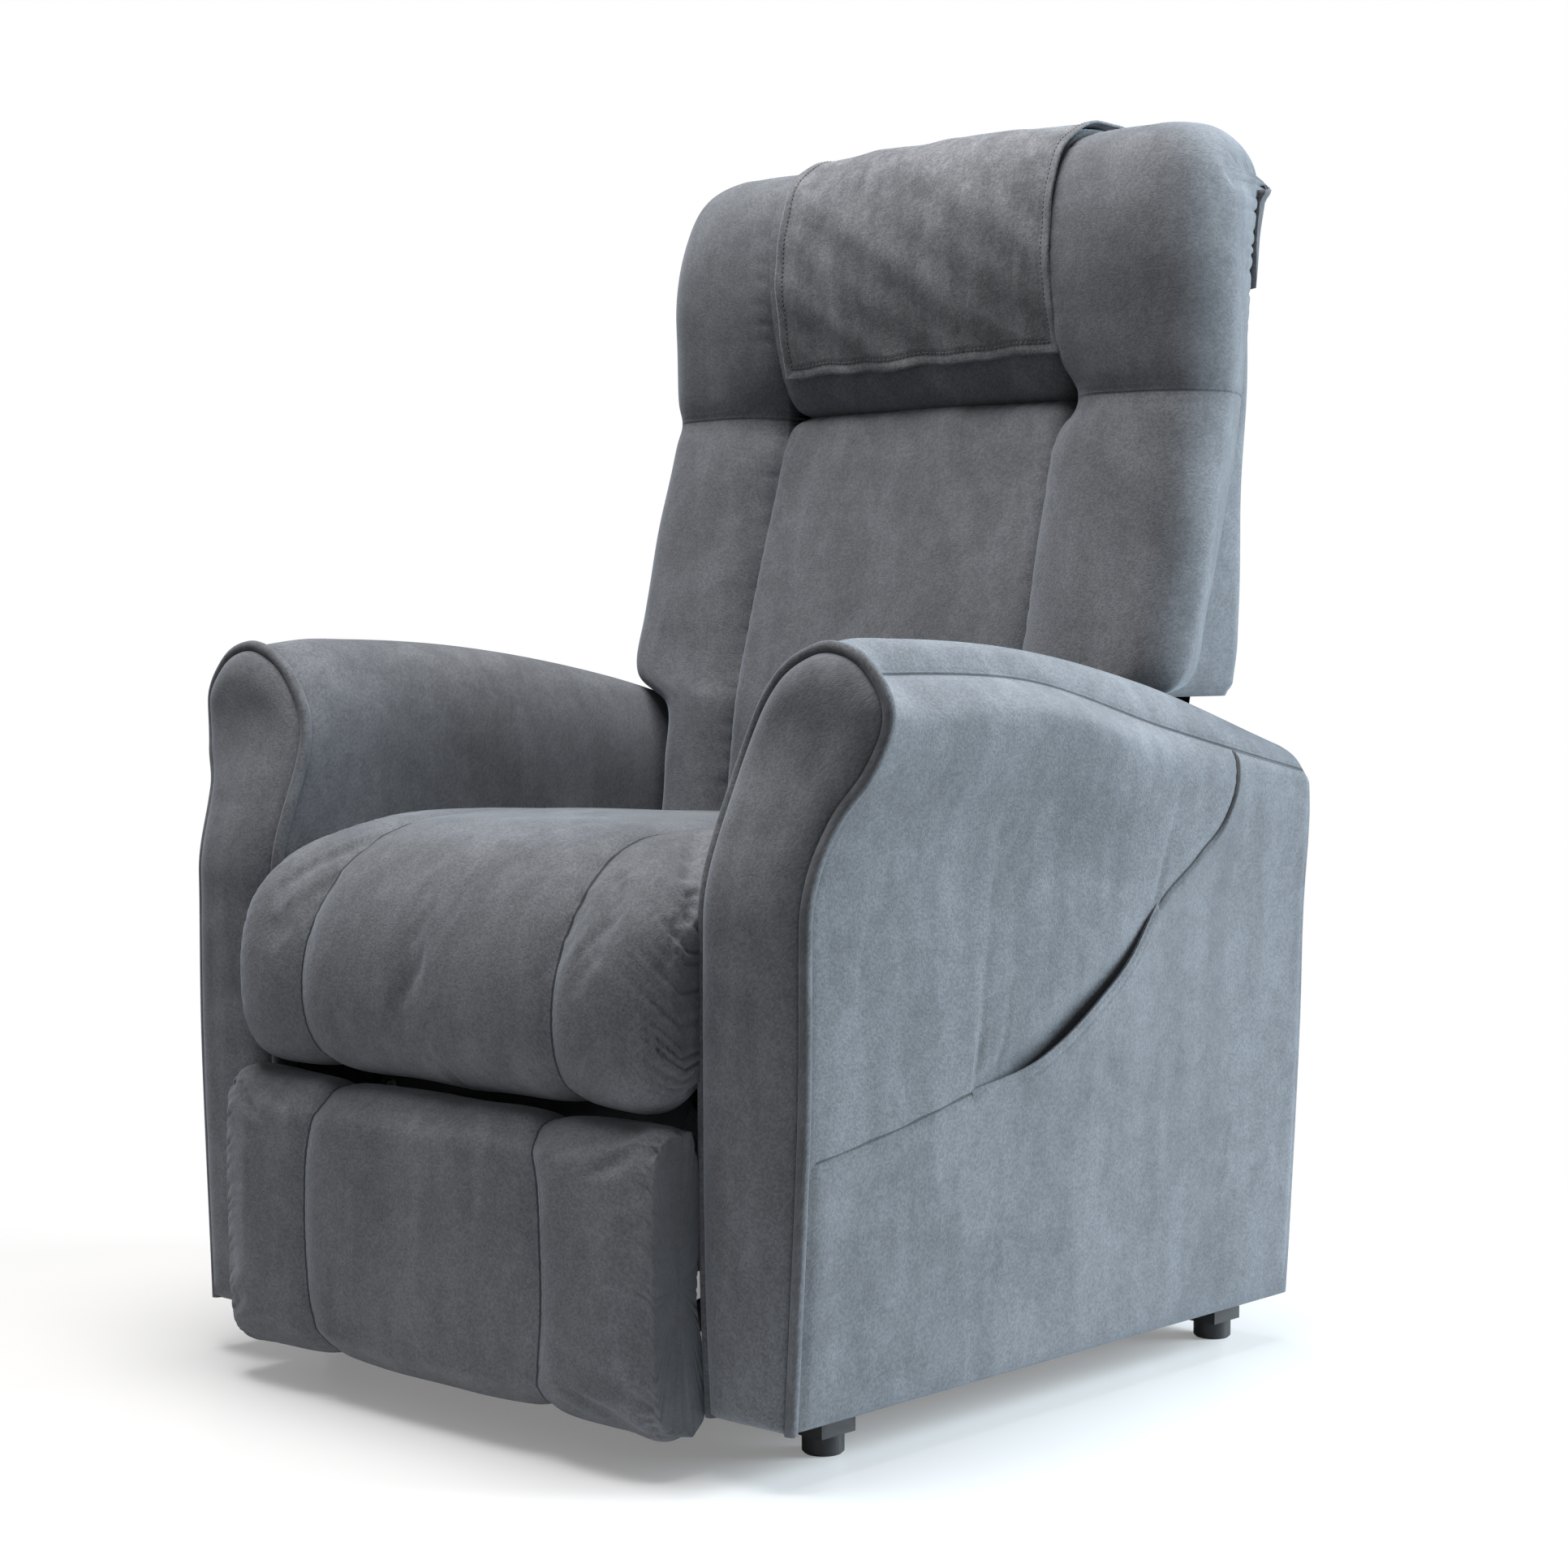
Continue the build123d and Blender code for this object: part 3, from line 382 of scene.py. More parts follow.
# ============================== Finishes ==========================================================
class Sheet:
    """A node tree under construction."""

    def __init__(self, tree: bpy.types.NodeTree) -> None:
        """Starts on an empty or a new tree."""
        self.tree = tree

    def add(self, kind: str, **settings: object) -> bpy.types.Node:
        """Adds a node. Settings are its properties, or its inputs where a name has a leading in_."""
        node = self.tree.nodes.new(kind)
        for key, value in settings.items():
            if key.startswith("in_"):
                self.feed(node.inputs[key[3:].replace("_", " ")], value)
            else:
                setattr(node, key, value)
        return node

    def feed(self, socket: bpy.types.NodeSocket, value: object) -> None:
        """Links a socket to another one, or sets its value."""
        if isinstance(value, bpy.types.NodeSocket):
            self.tree.links.new(value, socket)
        else:
            socket.default_value = value

    def calc(self, operation: str, *values: object) -> bpy.types.NodeSocket:
        """Result of a Math node."""
        node = self.tree.nodes.new("ShaderNodeMath")
        node.operation = operation
        for socket, value in zip(node.inputs, values):
            self.feed(socket, value)
        return node.outputs[0]

    def noise(self, vector: object, scale: object, detail: float = 3.0, roughness: float = 0.55,
              distortion: float = 0.0) -> bpy.types.NodeSocket:
        """Value of a Noise Texture."""
        return self.add("ShaderNodeTexNoise", in_Vector=vector, in_Scale=scale, in_Detail=detail,
                        in_Roughness=roughness, in_Distortion=distortion).outputs["Fac"]

    def spread(self, value: object, low: float, high: float) -> bpy.types.NodeSocket:
        """Value remapped so that low gives 0 and high gives 1, with a smooth step."""
        return self.add("ShaderNodeMapRange", interpolation_type="SMOOTHSTEP", in_Value=value,
                        in_From_Min=low, in_From_Max=high).outputs["Result"]

    def blend(self, share: object, first: object, second: object) -> bpy.types.NodeSocket:
        """Mix of two colours."""
        node = self.tree.nodes.new("ShaderNodeMix")
        node.data_type = "RGBA"
        for socket, value in zip((node.inputs[0], node.inputs[6], node.inputs[7]), (share, first, second)):
            self.feed(socket, value)
        return node.outputs[2]


def group(name: str, inputs: dict[str, tuple[str, object]], outputs: tuple[str, ...]) -> tuple[
        bpy.types.NodeTree, Sheet, bpy.types.Node, bpy.types.Node]:
    """Starts a shader node group.

    Args:
        name: the group's name.
        inputs: socket kind and starting value by name.
        outputs: names of its number outputs.

    Returns:
        The group, its sheet, its input node and its output node.
    """
    tree = bpy.data.node_groups.new(name, "ShaderNodeTree")
    for label, (kind, value) in inputs.items():
        socket = tree.interface.new_socket(label, in_out="INPUT", socket_type=kind)
        if value is not None:
            socket.default_value = value
    for label in outputs:
        tree.interface.new_socket(label, in_out="OUTPUT", socket_type="NodeSocketFloat")
    sheet = Sheet(tree)
    return tree, sheet, sheet.add("NodeGroupInput"), sheet.add("NodeGroupOutput")


def new_material(name: str) -> tuple[bpy.types.Material, Sheet, bpy.types.Node, bpy.types.NodeSocket]:
    """Starts a material.

    Args:
        name: the material's name.

    Returns:
        The material, its sheet, its shader and the socket with object coordinates.
    """
    material = bpy.data.materials.new(name)
    material.use_nodes = True
    sheet = Sheet(material.node_tree)
    place = sheet.add("ShaderNodeTexCoord").outputs["Object"]
    return material, sheet, material.node_tree.nodes["Principled BSDF"], place


def nap_group() -> bpy.types.NodeTree:
    """Brushed pile: soft clouds where the nap lies one way or the other, and streaks left by a hand.

    Clouds are noise at two sizes; streaks are noise stretched four to one along a slant.
    """
    tree, s, given, out = group("brushed_nap", {
        "Vector": ("NodeSocketVector", None), "Size": ("NodeSocketFloat", 9.0)}, ("Mask", "Fuzz"))
    vector, size = given.outputs["Vector"], given.outputs["Size"]
    clouds = s.spread(s.noise(vector, size, 3.0, 0.5, 0.6), 0.38, 0.64)
    patches = s.spread(s.noise(vector, s.calc("MULTIPLY", size, 5.5), 4.0, 0.6), 0.33, 0.7)
    slanted = s.add("ShaderNodeMapping", in_Vector=vector, in_Rotation=(0.5, 0.7, 0.4),
                    in_Scale=(1.0, 1.0, 0.24)).outputs["Vector"]
    streaks = s.spread(s.noise(slanted, s.calc("MULTIPLY", size, 3.0), 2.0, 0.5, 0.3), 0.42, 0.66)
    mask = s.calc("ADD", s.calc("MULTIPLY", clouds, 0.30),
                  s.calc("ADD", s.calc("MULTIPLY", patches, 0.34), s.calc("MULTIPLY", streaks, 0.36)))
    s.feed(out.inputs["Mask"], mask)
    s.feed(out.inputs["Fuzz"], s.noise(vector, 420.0, 4.0, 0.7))
    return tree


def weave_group() -> bpy.types.NodeTree:
    """Fine uneven weave: one cell a thread crossing, on the cloth's own coordinates.

    Height falls from each cell's middle to its edge; Fleck is each cell's own shade.
    """
    tree, s, given, out = group("fine_weave", {
        "Vector": ("NodeSocketVector", None), "Threads": ("NodeSocketFloat", 620.0)}, ("Height", "Fleck"))
    cells = s.add("ShaderNodeTexVoronoi", voronoi_dimensions="2D", in_Vector=given.outputs["Vector"],
                  in_Scale=given.outputs["Threads"], in_Randomness=0.7)
    s.feed(out.inputs["Height"], s.calc("SUBTRACT", 1.0, cells.outputs["Distance"]))
    fleck = s.add("ShaderNodeSeparateColor", in_Color=cells.outputs["Color"]).outputs["Red"]
    s.feed(out.inputs["Fleck"], fleck)
    return tree


def sewn_group() -> bpy.types.NodeTree:
    """Sewn line: a fine groove at the nearest seam, whose mask also paints shade into the cloth's colour, and a
    broad soft dip beside it.

    Both fade smoothly with the least of three signed distances, which are stored one metre up.
    """
    tree, s, given, out = group("sewn_line", {"Vector": ("NodeSocketVector", None)}, ("Groove", "Dip"))
    parts = s.add("ShaderNodeSeparateXYZ", in_Vector=given.outputs["Vector"])
    away = [s.calc("ABSOLUTE", s.calc("SUBTRACT", axis, 1.0)) for axis in parts.outputs]
    near = s.calc("MINIMUM", s.calc("MINIMUM", away[0], away[1]), away[2])
    s.feed(out.inputs["Groove"], s.calc("SUBTRACT", 1.0, s.spread(near, 0.0005, 0.0022)))
    s.feed(out.inputs["Dip"], s.calc("SUBTRACT", 1.0, s.spread(near, 0.0005, 0.0075)))
    return tree


def scuff_group() -> bpy.types.NodeTree:
    """Dust and rub marks of a used surface: broad dust, and fine scratches from stretched noise."""
    tree, s, given, out = group("dust_and_rub", {
        "Vector": ("NodeSocketVector", None), "Amount": ("NodeSocketFloat", 0.3)}, ("Dust", "Rub"))
    vector, amount = given.outputs["Vector"], given.outputs["Amount"]
    dust = s.spread(s.noise(vector, 14.0, 5.0, 0.65), 0.45, 0.75)
    long = s.add("ShaderNodeMapping", in_Vector=vector, in_Rotation=(0.2, 0.1, 0.9),
                 in_Scale=(1.0, 0.05, 0.6)).outputs["Vector"]
    rub = s.spread(s.noise(long, 240.0, 3.0, 0.6), 0.58, 0.72)
    s.feed(out.inputs["Dust"], s.calc("MULTIPLY", dust, amount))
    s.feed(out.inputs["Rub"], s.calc("MULTIPLY", rub, amount))
    return tree


@dataclass(frozen=True)
class Upholstery:
    """Brushed microfibre cloth."""

    name: str
    dark: tuple[float, float, float, float]
    light: tuple[float, float, float, float]
    nap_size: float = 9.0
    threads: float = 620.0
    fleck: float = 0.34
    sheen: float = 0.35
    coarse: float = 0.00035

    def build(self, groups: dict[str, bpy.types.NodeTree]) -> bpy.types.Material:
        """Makes the material: nap clouds and thread flecks in the colour, with painted shade along the seam
        grooves; weave and fuzz in the bump.
        """
        material, s, shader, place = new_material(self.name)
        cloth = s.add("ShaderNodeAttribute", attribute_name="cloth").outputs["Vector"]
        nap = s.add("ShaderNodeGroup", node_tree=groups["nap"], in_Vector=place, in_Size=self.nap_size)
        weave = s.add("ShaderNodeGroup", node_tree=groups["weave"], in_Vector=cloth, in_Threads=self.threads)
        seam = s.add("ShaderNodeAttribute", attribute_name="seam").outputs["Vector"]
        sewn = s.add("ShaderNodeGroup", node_tree=groups["sewn"], in_Vector=seam)
        base = s.blend(nap.outputs["Mask"], self.dark, self.light)
        fleck = s.calc("ADD", s.calc("MULTIPLY", s.calc("SUBTRACT", weave.outputs["Fleck"], 0.5), self.fleck),
                       s.calc("MULTIPLY_ADD", nap.outputs["Fuzz"], 0.5, 0.75))
        # Painted shade: the colour darkens by up to 70% in each seam's groove, standing in for the shade in the
        # crease.
        fleck = s.calc("MULTIPLY", fleck, s.calc("MULTIPLY_ADD", sewn.outputs["Groove"], -0.70, 1.0))
        shade = s.add("ShaderNodeVectorMath", operation="SCALE", in_Scale=fleck)
        s.feed(shade.inputs[0], base)
        s.feed(shader.inputs["Base Color"], shade.outputs["Vector"])
        s.feed(shader.inputs["Roughness"], s.calc("MULTIPLY_ADD", nap.outputs["Mask"], -0.12, 0.95))
        height = s.calc("ADD", s.calc("MULTIPLY", weave.outputs["Height"], 0.7),
                        s.calc("MULTIPLY", nap.outputs["Fuzz"], 0.6))
        dip = s.calc("MULTIPLY", sewn.outputs["Dip"], -0.55)
        sunk = s.calc("MULTIPLY_ADD", sewn.outputs["Groove"], -0.45, dip)
        stitched = s.add("ShaderNodeBump", in_Strength=1.0, in_Distance=0.0018, in_Height=sunk)
        bump = s.add("ShaderNodeBump", in_Strength=0.6, in_Distance=self.coarse, in_Height=height,
                     in_Normal=stitched.outputs["Normal"])
        s.feed(shader.inputs["Normal"], bump.outputs["Normal"])
        shader.inputs["Specular IOR Level"].default_value = 0.12
        shader.inputs["Sheen Weight"].default_value = self.sheen
        shader.inputs["Sheen Roughness"].default_value = 0.42
        shader.inputs["Sheen Tint"].default_value = (0.62, 0.70, 0.80, 1.0)
        return material


@dataclass(frozen=True)
class HardFinish:
    """Painted or plated steel, moulded plastic, or bare timber."""

    name: str
    colour: tuple[float, float, float, float]
    worn: tuple[float, float, float, float]
    roughness: float
    metallic: float = 0.0
    coat: float = 0.0
    grain: float = 260.0
    grain_depth: float = 0.00008
    grain_stretch: tuple[float, float, float] = (1.0, 1.0, 1.0)
    grain_share: float = 0.15

    def build(self, groups: dict[str, bpy.types.NodeTree]) -> bpy.types.Material:
        """Makes the material: grain in the bump and colour, dust and rub marks over it."""
        material, s, shader, place = new_material(self.name)
        scuff = s.add("ShaderNodeGroup", node_tree=groups["scuff"], in_Vector=place, in_Amount=0.35)
        drawn = s.add("ShaderNodeMapping", in_Vector=place, in_Scale=self.grain_stretch).outputs["Vector"]
        grain = s.noise(drawn, self.grain, 4.0, 0.6, 0.3)
        marks = s.calc("ADD", scuff.outputs["Dust"], scuff.outputs["Rub"])
        share = s.calc("ADD", s.calc("MULTIPLY", grain, self.grain_share), marks)
        s.feed(shader.inputs["Base Color"], s.blend(share, self.colour, self.worn))
        s.feed(shader.inputs["Roughness"], s.calc("MULTIPLY_ADD", marks, 0.3, self.roughness))
        bump = s.add("ShaderNodeBump", in_Strength=0.5, in_Distance=self.grain_depth, in_Height=grain)
        s.feed(shader.inputs["Normal"], bump.outputs["Normal"])
        shader.inputs["Metallic"].default_value = self.metallic
        shader.inputs["Coat Weight"].default_value = self.coat
        return material


FINISHES = {
    "upholstery": Upholstery("blue_grey_microfibre", (0.112, 0.117, 0.128, 1), (0.165, 0.173, 0.189, 1)),
    "piping": Upholstery("welt_microfibre", (0.098, 0.103, 0.113, 1), (0.150, 0.157, 0.171, 1), nap_size=30.0),
    "headrest_cloth": Upholstery("head_cloth_microfibre", (0.115, 0.118, 0.128, 1), (0.205, 0.209, 0.224, 1),
                                 nap_size=16.0, fleck=0.42),
    "lining": Upholstery("black_lining", (0.012, 0.012, 0.014, 1), (0.028, 0.028, 0.031, 1), nap_size=20.0,
                         threads=380.0, sheen=0.05),
    "black_steel": HardFinish("black_powder_coat", (0.016, 0.016, 0.018, 1), (0.075, 0.072, 0.068, 1), 0.42,
                              coat=0.15, grain=900.0, grain_depth=0.00006),
    "zinc_steel": HardFinish("bright_zinc", (0.52, 0.53, 0.55, 1), (0.30, 0.29, 0.27, 1), 0.30, metallic=1.0,
                             grain=300.0, grain_stretch=(0.06, 1.0, 1.0)),
    "black_plastic": HardFinish("moulded_black", (0.018, 0.018, 0.020, 1), (0.06, 0.06, 0.06, 1), 0.52,
                                grain=1400.0, grain_depth=0.0001),
    "timber": HardFinish("bare_plywood", (0.52, 0.36, 0.20, 1), (0.33, 0.20, 0.10, 1), 0.72, grain=46.0,
                         grain_depth=0.0002, grain_stretch=(1.0, 1.0, 0.07), grain_share=0.7),
}


@dataclass
class Finishes:
    """Every material of the chair, by the record's slot."""

    groups: dict[str, bpy.types.NodeTree] = field(default_factory=dict)
    made: dict[str, bpy.types.Material] = field(default_factory=dict)

    def build(self) -> None:
        """Makes the shared node groups, then each material."""
        self.groups = {"nap": nap_group(), "weave": weave_group(), "sewn": sewn_group(), "scuff": scuff_group()}
        self.made = {slot: finish.build(self.groups) for slot, finish in FINISHES.items()}

    def dress_frame(self, frame: dict) -> None:
        """Gives every carried-over CAD node the finish of its slot."""
        slots = {part["node"]: part["material_slot"] for part in frame["record"]["subparts"]}
        for node, piece in frame["nodes"].items():
            piece.data.materials.clear()
            piece.data.materials.append(self.made[slots[node]])


# ============================== Arms ==============================================================
@dataclass
class Arm:
    """One padded arm: body with scroll top, side panel with its pocket, front panel and welt.

    Sections are points (distance out from the inner face, height), from the inner foot over the scroll
    to the outer foot, at stations along Y.
    """

    side: Side
    stations: tuple[float, ...] = (-0.345, -0.285, -0.235, -0.110, 0.110, 0.346)
    crest_fall: float = 0.005
    lean: float = 0.044
    lean_from: float = 0.430
    lean_to: float = 0.585
    seam_role: float = 8.0
    front_section: tuple[Point, ...] = (
        (.006, .045), (.000, .160), (-.002, .340), (.000, .500), (.009, .567), (.036, .611), (.070, .631),
        (.098, .632), (.123, .619), (.142, .588), (.131, .545), (.109, .505), (.099, .440), (.097, .280),
        (.084, .045))
    near_section: tuple[Point, ...] = (
        (.006, .045), (.000, .160), (-.002, .340), (.000, .500), (.008, .573), (.028, .619), (.056, .640),
        (.082, .639), (.104, .616), (.134, .582), (.126, .542), (.108, .502), (.099, .440), (.097, .280),
        (.084, .045))
    middle_section: tuple[Point, ...] = (
        (.006, .045), (.000, .160), (-.002, .330), (.000, .470), (.006, .540), (.024, .586), (.048, .605),
        (.076, .601), (.101, .567), (.117, .535), (.114, .500), (.105, .460), (.099, .410), (.097, .280),
        (.084, .045))
    rear_section: tuple[Point, ...] = (
        (.006, .045), (.000, .160), (-.001, .300), (.000, .420), (.004, .492), (.019, .530), (.044, .546),
        (.074, .543), (.101, .523), (.105, .495), (.104, .460), (.101, .420), (.099, .380), (.096, .270),
        (.084, .045))
    slant: tuple[Point, ...] = ((-.350, .246), (-.221, .266), (-.133, .284), (-.049, .302), (.027, .341),
                                (.083, .381), (.115, .418), (.166, .459), (.202, .503), (.217, .548))
    mouth: Point = (-.133, .115)
    mouth_sink: float = 0.012
    mouth_lift: float = 0.004
    rear_round: float = 0.010
    front_round: float = 0.008
    panel_thick: float = 0.0026
    face_set: float = 0.0175
    face_back: float = 0.0225
    welt_radius: float = 0.0052

    def __post_init__(self) -> None:
        """Reads the arm's box, and stacks the sections into one net."""
        low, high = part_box(f"arm_pad_{self.side.label}")
        self.inner_x = min(abs(low.x), abs(high.x))
        self.rear_y, self.foot_z = high.y, low.z
        self.front_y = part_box(f"arm_front_{self.side.label}")[0].y
        self.net = np.array([self.front_section, self.near_section, self.near_section, self.near_section,
                             self.middle_section, self.rear_section])
        self.net[3, 3:9, 1] -= self.crest_fall

    def skin(self, y: np.ndarray, role: np.ndarray, extra: np.ndarray | float = 0.0) -> np.ndarray:
        """Points of the arm's outer skin.

        The section at y is the smooth blend of the stations' sections; each point is then set back from
        the front by the lean of its height, which fades to nothing at the rear.

        Args:
            y: station of each row, (rows,).
            role: place round the section in each row, (rows, n).
            extra: further Y offset.

        Returns:
            Points, (rows, n, 3).
        """
        net = spline(np.array(self.stations), self.net, y)
        flat = spline_rows(net, role)
        share = np.clip((self.rear_y - y) / (self.rear_y - self.front_y), 0, 1)[:, None]
        back = y[:, None] + self.lean * ease(flat[..., 1], self.lean_from, self.lean_to) * share + extra
        x = self.side.value * (self.inner_x + flat[..., 0])
        return np.stack([x, back, flat[..., 1]], -1)

    def slant_height(self, y: np.ndarray) -> np.ndarray:
        """Height of the slanting seam at y; behind its end it stands above the arm."""
        place = np.array(self.slant)
        return np.where(y > place[-1, 0], 0.60, spline(place[:, 0], place[:, 1], y))

    def open_share(self, y: np.ndarray) -> np.ndarray:
        """How far the pocket's mouth is open at y: 0 at both ends, 1 in its middle."""
        t = np.clip((y - self.mouth[0]) / (self.mouth[1] - self.mouth[0]), 0, 1)
        return np.sin(math.pi * t ** 0.85) ** 0.8

    def outward(self, grid: np.ndarray) -> np.ndarray:
        """Normals of the skin that point out of the arm."""
        n = normals(grid)
        return n if n[len(n) // 2, -20, 0] * self.side.value > 0 else -n

    def body(self, cloth: bpy.types.Material) -> None:
        """Arm body: rounded at both ends, grooved along its top seam, sunk under the pocket."""
        last = len(self.front_section) - 1
        start = self.front_y + 0.020
        y = np.concatenate([start + np.linspace(0, .004, 5), np.linspace(start + 0.006, self.rear_y - 0.011, 200),
                            self.rear_y - 0.010 + 0.010 * np.sin(np.linspace(0.2, 1.57, 7))])
        at = np.linspace(0, last, 280)
        at = at + 0.10 * (np.tanh((self.seam_role - at) / 0.35) * np.exp(-((at - self.seam_role) / 0.8) ** 2))
        role = np.repeat(at[None], len(y), 0)
        grid = self.skin(y, role)
        out = self.outward(grid)
        around, _ = distances(grid)
        seam_at = np.argmin(np.abs(at - self.seam_role))
        past_seam = around - around[:, seam_at:seam_at + 1]
        from_seam = np.abs(past_seam)
        foot = ease(grid[..., 2], self.foot_z, self.foot_z + 0.05)
        rise = grid[..., 2] - self.slant_height(y)[:, None]
        outer = ease(role, self.seam_role, self.seam_role + 0.8)
        sink = self.mouth_sink * self.open_share(y)[:, None] * np.where(
            rise > 0, bell(rise, 0.020), ease(rise, -0.14, -0.05))
        push = -0.0024 * bell(from_seam, 0.011) - outer * sink - outer * 0.0012 * bell(rise, 0.010)
        low_down = ease(-grid[..., 2], -0.30, -0.07)
        push += outer * 0.0014 * waver(grid[..., 1], (0.11, 0.17, 0.29), 4) * low_down * foot
        above = outer * ease(rise, 0.0, 0.012) * np.exp(-np.maximum(rise, 0) / 0.055)
        for place, depth in ((self.mouth[0] + 0.006, 0.0045), (self.mouth[0] + 0.038, 0.0022),
                             (self.mouth[1] - 0.002, 0.0026)):
            push -= above * depth * bell(grid[..., 1] - place - 0.1 * np.maximum(rise, 0), 0.0045)
        inner = ease(-role, -6.0, -3.0)
        push += inner * 0.0015 * waver(grid[..., 1] + 0.4 * grid[..., 2], (0.13, 0.21), 9) * foot
        rear = np.clip((self.rear_y - y) / 0.010, 0, 1)[:, None]
        push -= self.rear_round * round_over(rear)
        front = np.clip((y - start) / 0.014, 0, 1)[:, None]
        push -= self.front_round * round_over(front)
        name = self.side.label
        make(f"arm_body_{name}", tube(grid + out * push[..., None], past_seam), cloth, "chair_body",
             (f"arm_pad_{name}",))

    def side_panel(self, cloth: bpy.types.Material) -> None:
        """Panel below the slanting seam, whose free upper edge is the pocket's mouth.

        Rows run from the foot up to the seam at equal shares of the section between them.
        """
        last = len(self.front_section) - 1.0
        y = np.concatenate([np.linspace(self.front_y + 0.026, 0.195, 150), np.linspace(0.1965, 0.222, 22),
                            np.linspace(0.226, self.rear_y - 0.006, 30)])
        dense = np.linspace(self.seam_role + 0.02, last, 300)
        heights = self.skin(y, np.repeat(dense[None], len(y), 0))[..., 2]
        top = np.minimum(self.slant_height(y), heights.max(1))
        top_role = np.array([np.interp(-t, -h, dense) for t, h in zip(top, heights)])
        share = np.concatenate([np.linspace(0, 0.9, 60), 0.9 + 0.1 * np.sin(np.linspace(0.04, 1.57, 26))])
        role = last + (top_role[:, None] - last) * share[None]
        grid = self.skin(y, role)
        out = self.outward(grid)
        below = top[:, None] - grid[..., 2]
        opened = self.open_share(y)[:, None]
        near = np.minimum(below, 0.6)
        lift = 0.0020 * ease(near, -0.001, 0.012) + self.mouth_lift * opened * np.exp(-near / 0.045)
        lift += (1 - opened) * -0.0012 * bell(near, 0.004)
        lift += opened * (-0.0009 * bell(near - 0.009, 0.0016) + 0.0006 * bell(near - 0.004, 0.003))
        ends = np.minimum(y - y[0], y[-1] - y)[:, None]
        lift = lift - 0.0030 * (1 - ease(ends, 0.0, 0.012)) - 0.0035 * (1 - ease(share, 0.0, 0.02))[None]
        foot = ease(grid[..., 2], self.foot_z, self.foot_z + 0.05)
        low_down = ease(-grid[..., 2], -0.30, -0.07)
        lift += 0.0013 * waver(grid[..., 1], (0.11, 0.17, 0.29), 4) * low_down * foot
        name = self.side.label
        stitch = np.hypot(below - 0.0015, 0.0010) + 0.03 * ease(opened, 0.0, 0.15)
        piece = slab(grid + out * lift[..., None], grid + out * (lift - self.panel_thick)[..., None], stitch)
        make(f"arm_side_panel_{name}", piece, cloth, "chair_body",
             (f"pocket_panel_{name}",))

    def outline(self, grow: float, count: int, y: float) -> np.ndarray:
        """The front's outline, moved outwards by grow, at the lean of each height."""
        role = np.linspace(0, len(self.front_section) - 1, count)[None]
        line = self.skin(np.array([y]), role)[0]
        step = unit(np.gradient(line[:, [0, 2]], axis=0))
        line[:, [0, 2]] += grow * self.side.value * np.stack([-step[:, 1], step[:, 0]], -1)
        return line

    def front(self, cloth: bpy.types.Material, bead: bpy.types.Material) -> None:
        """Front panel and its welt.

        Ribs join the outline's two legs from the foot up to the crest. The face swells as a quarter
        circle of its distance from the outline; the back is flat.
        """
        rim = self.outline(-0.0012, 361, self.front_y)
        top = 175
        legs = [rim[:top + 1], rim[:top - 1:-1]]
        steps = 1 - (1 - np.linspace(0, 1, 150)) ** 1.25
        paths = []
        for leg in legs:
            run = length_run(leg)
            paths.append(np.stack([np.interp(steps * run[-1] * 0.9965, run, leg[:, k]) for k in (0, 2)], -1))
        share = (1 - np.cos(np.linspace(0, math.pi, 60))) / 2
        rib = paths[0][:, None] * (1 - share)[None, :, None] + paths[1][:, None] * share[None, :, None]
        away = gap(rib, np.concatenate([rim[:, [0, 2]], rim[:1, [0, 2]]]))
        set_back = self.lean * ease(rib[..., 1], self.lean_from, self.lean_to)
        inside = np.clip(away / 0.026, 0, 1)
        swell = 0.016 * np.sqrt(np.clip(1 - (1 - inside) ** 2, 0, 1)) + 0.004 * np.clip(away / 0.05, 0, 1)
        swell += 0.0007 * waver(rib[..., 1], (0.043, 0.071, 0.12), 12) * inside
        face = np.stack([rib[..., 0], self.front_y + self.face_set + set_back - swell, rib[..., 1]], -1)
        back = np.stack([rib[..., 0], self.front_y + self.face_back + set_back, rib[..., 1]], -1)
        name = self.side.label
        make(f"arm_face_{name}", slab(face, back), cloth, "chair_body",
             (f"arm_front_{name}",))
        path = self.outline(0.0022, 260, self.front_y)
        path[:, 1] = self.front_y + self.face_set + self.lean * ease(path[:, 2], self.lean_from, self.lean_to)
        make(f"arm_welt_{name}", welt(path, self.welt_radius), bead, "chair_body", (f"arm_piping_{name}",))

    def build(self, finishes: Finishes) -> None:
        """Builds the arm's pieces."""
        cloth = finishes.made["upholstery"]
        self.body(cloth)
        self.side_panel(cloth)
        self.front(cloth, finishes.made["piping"])


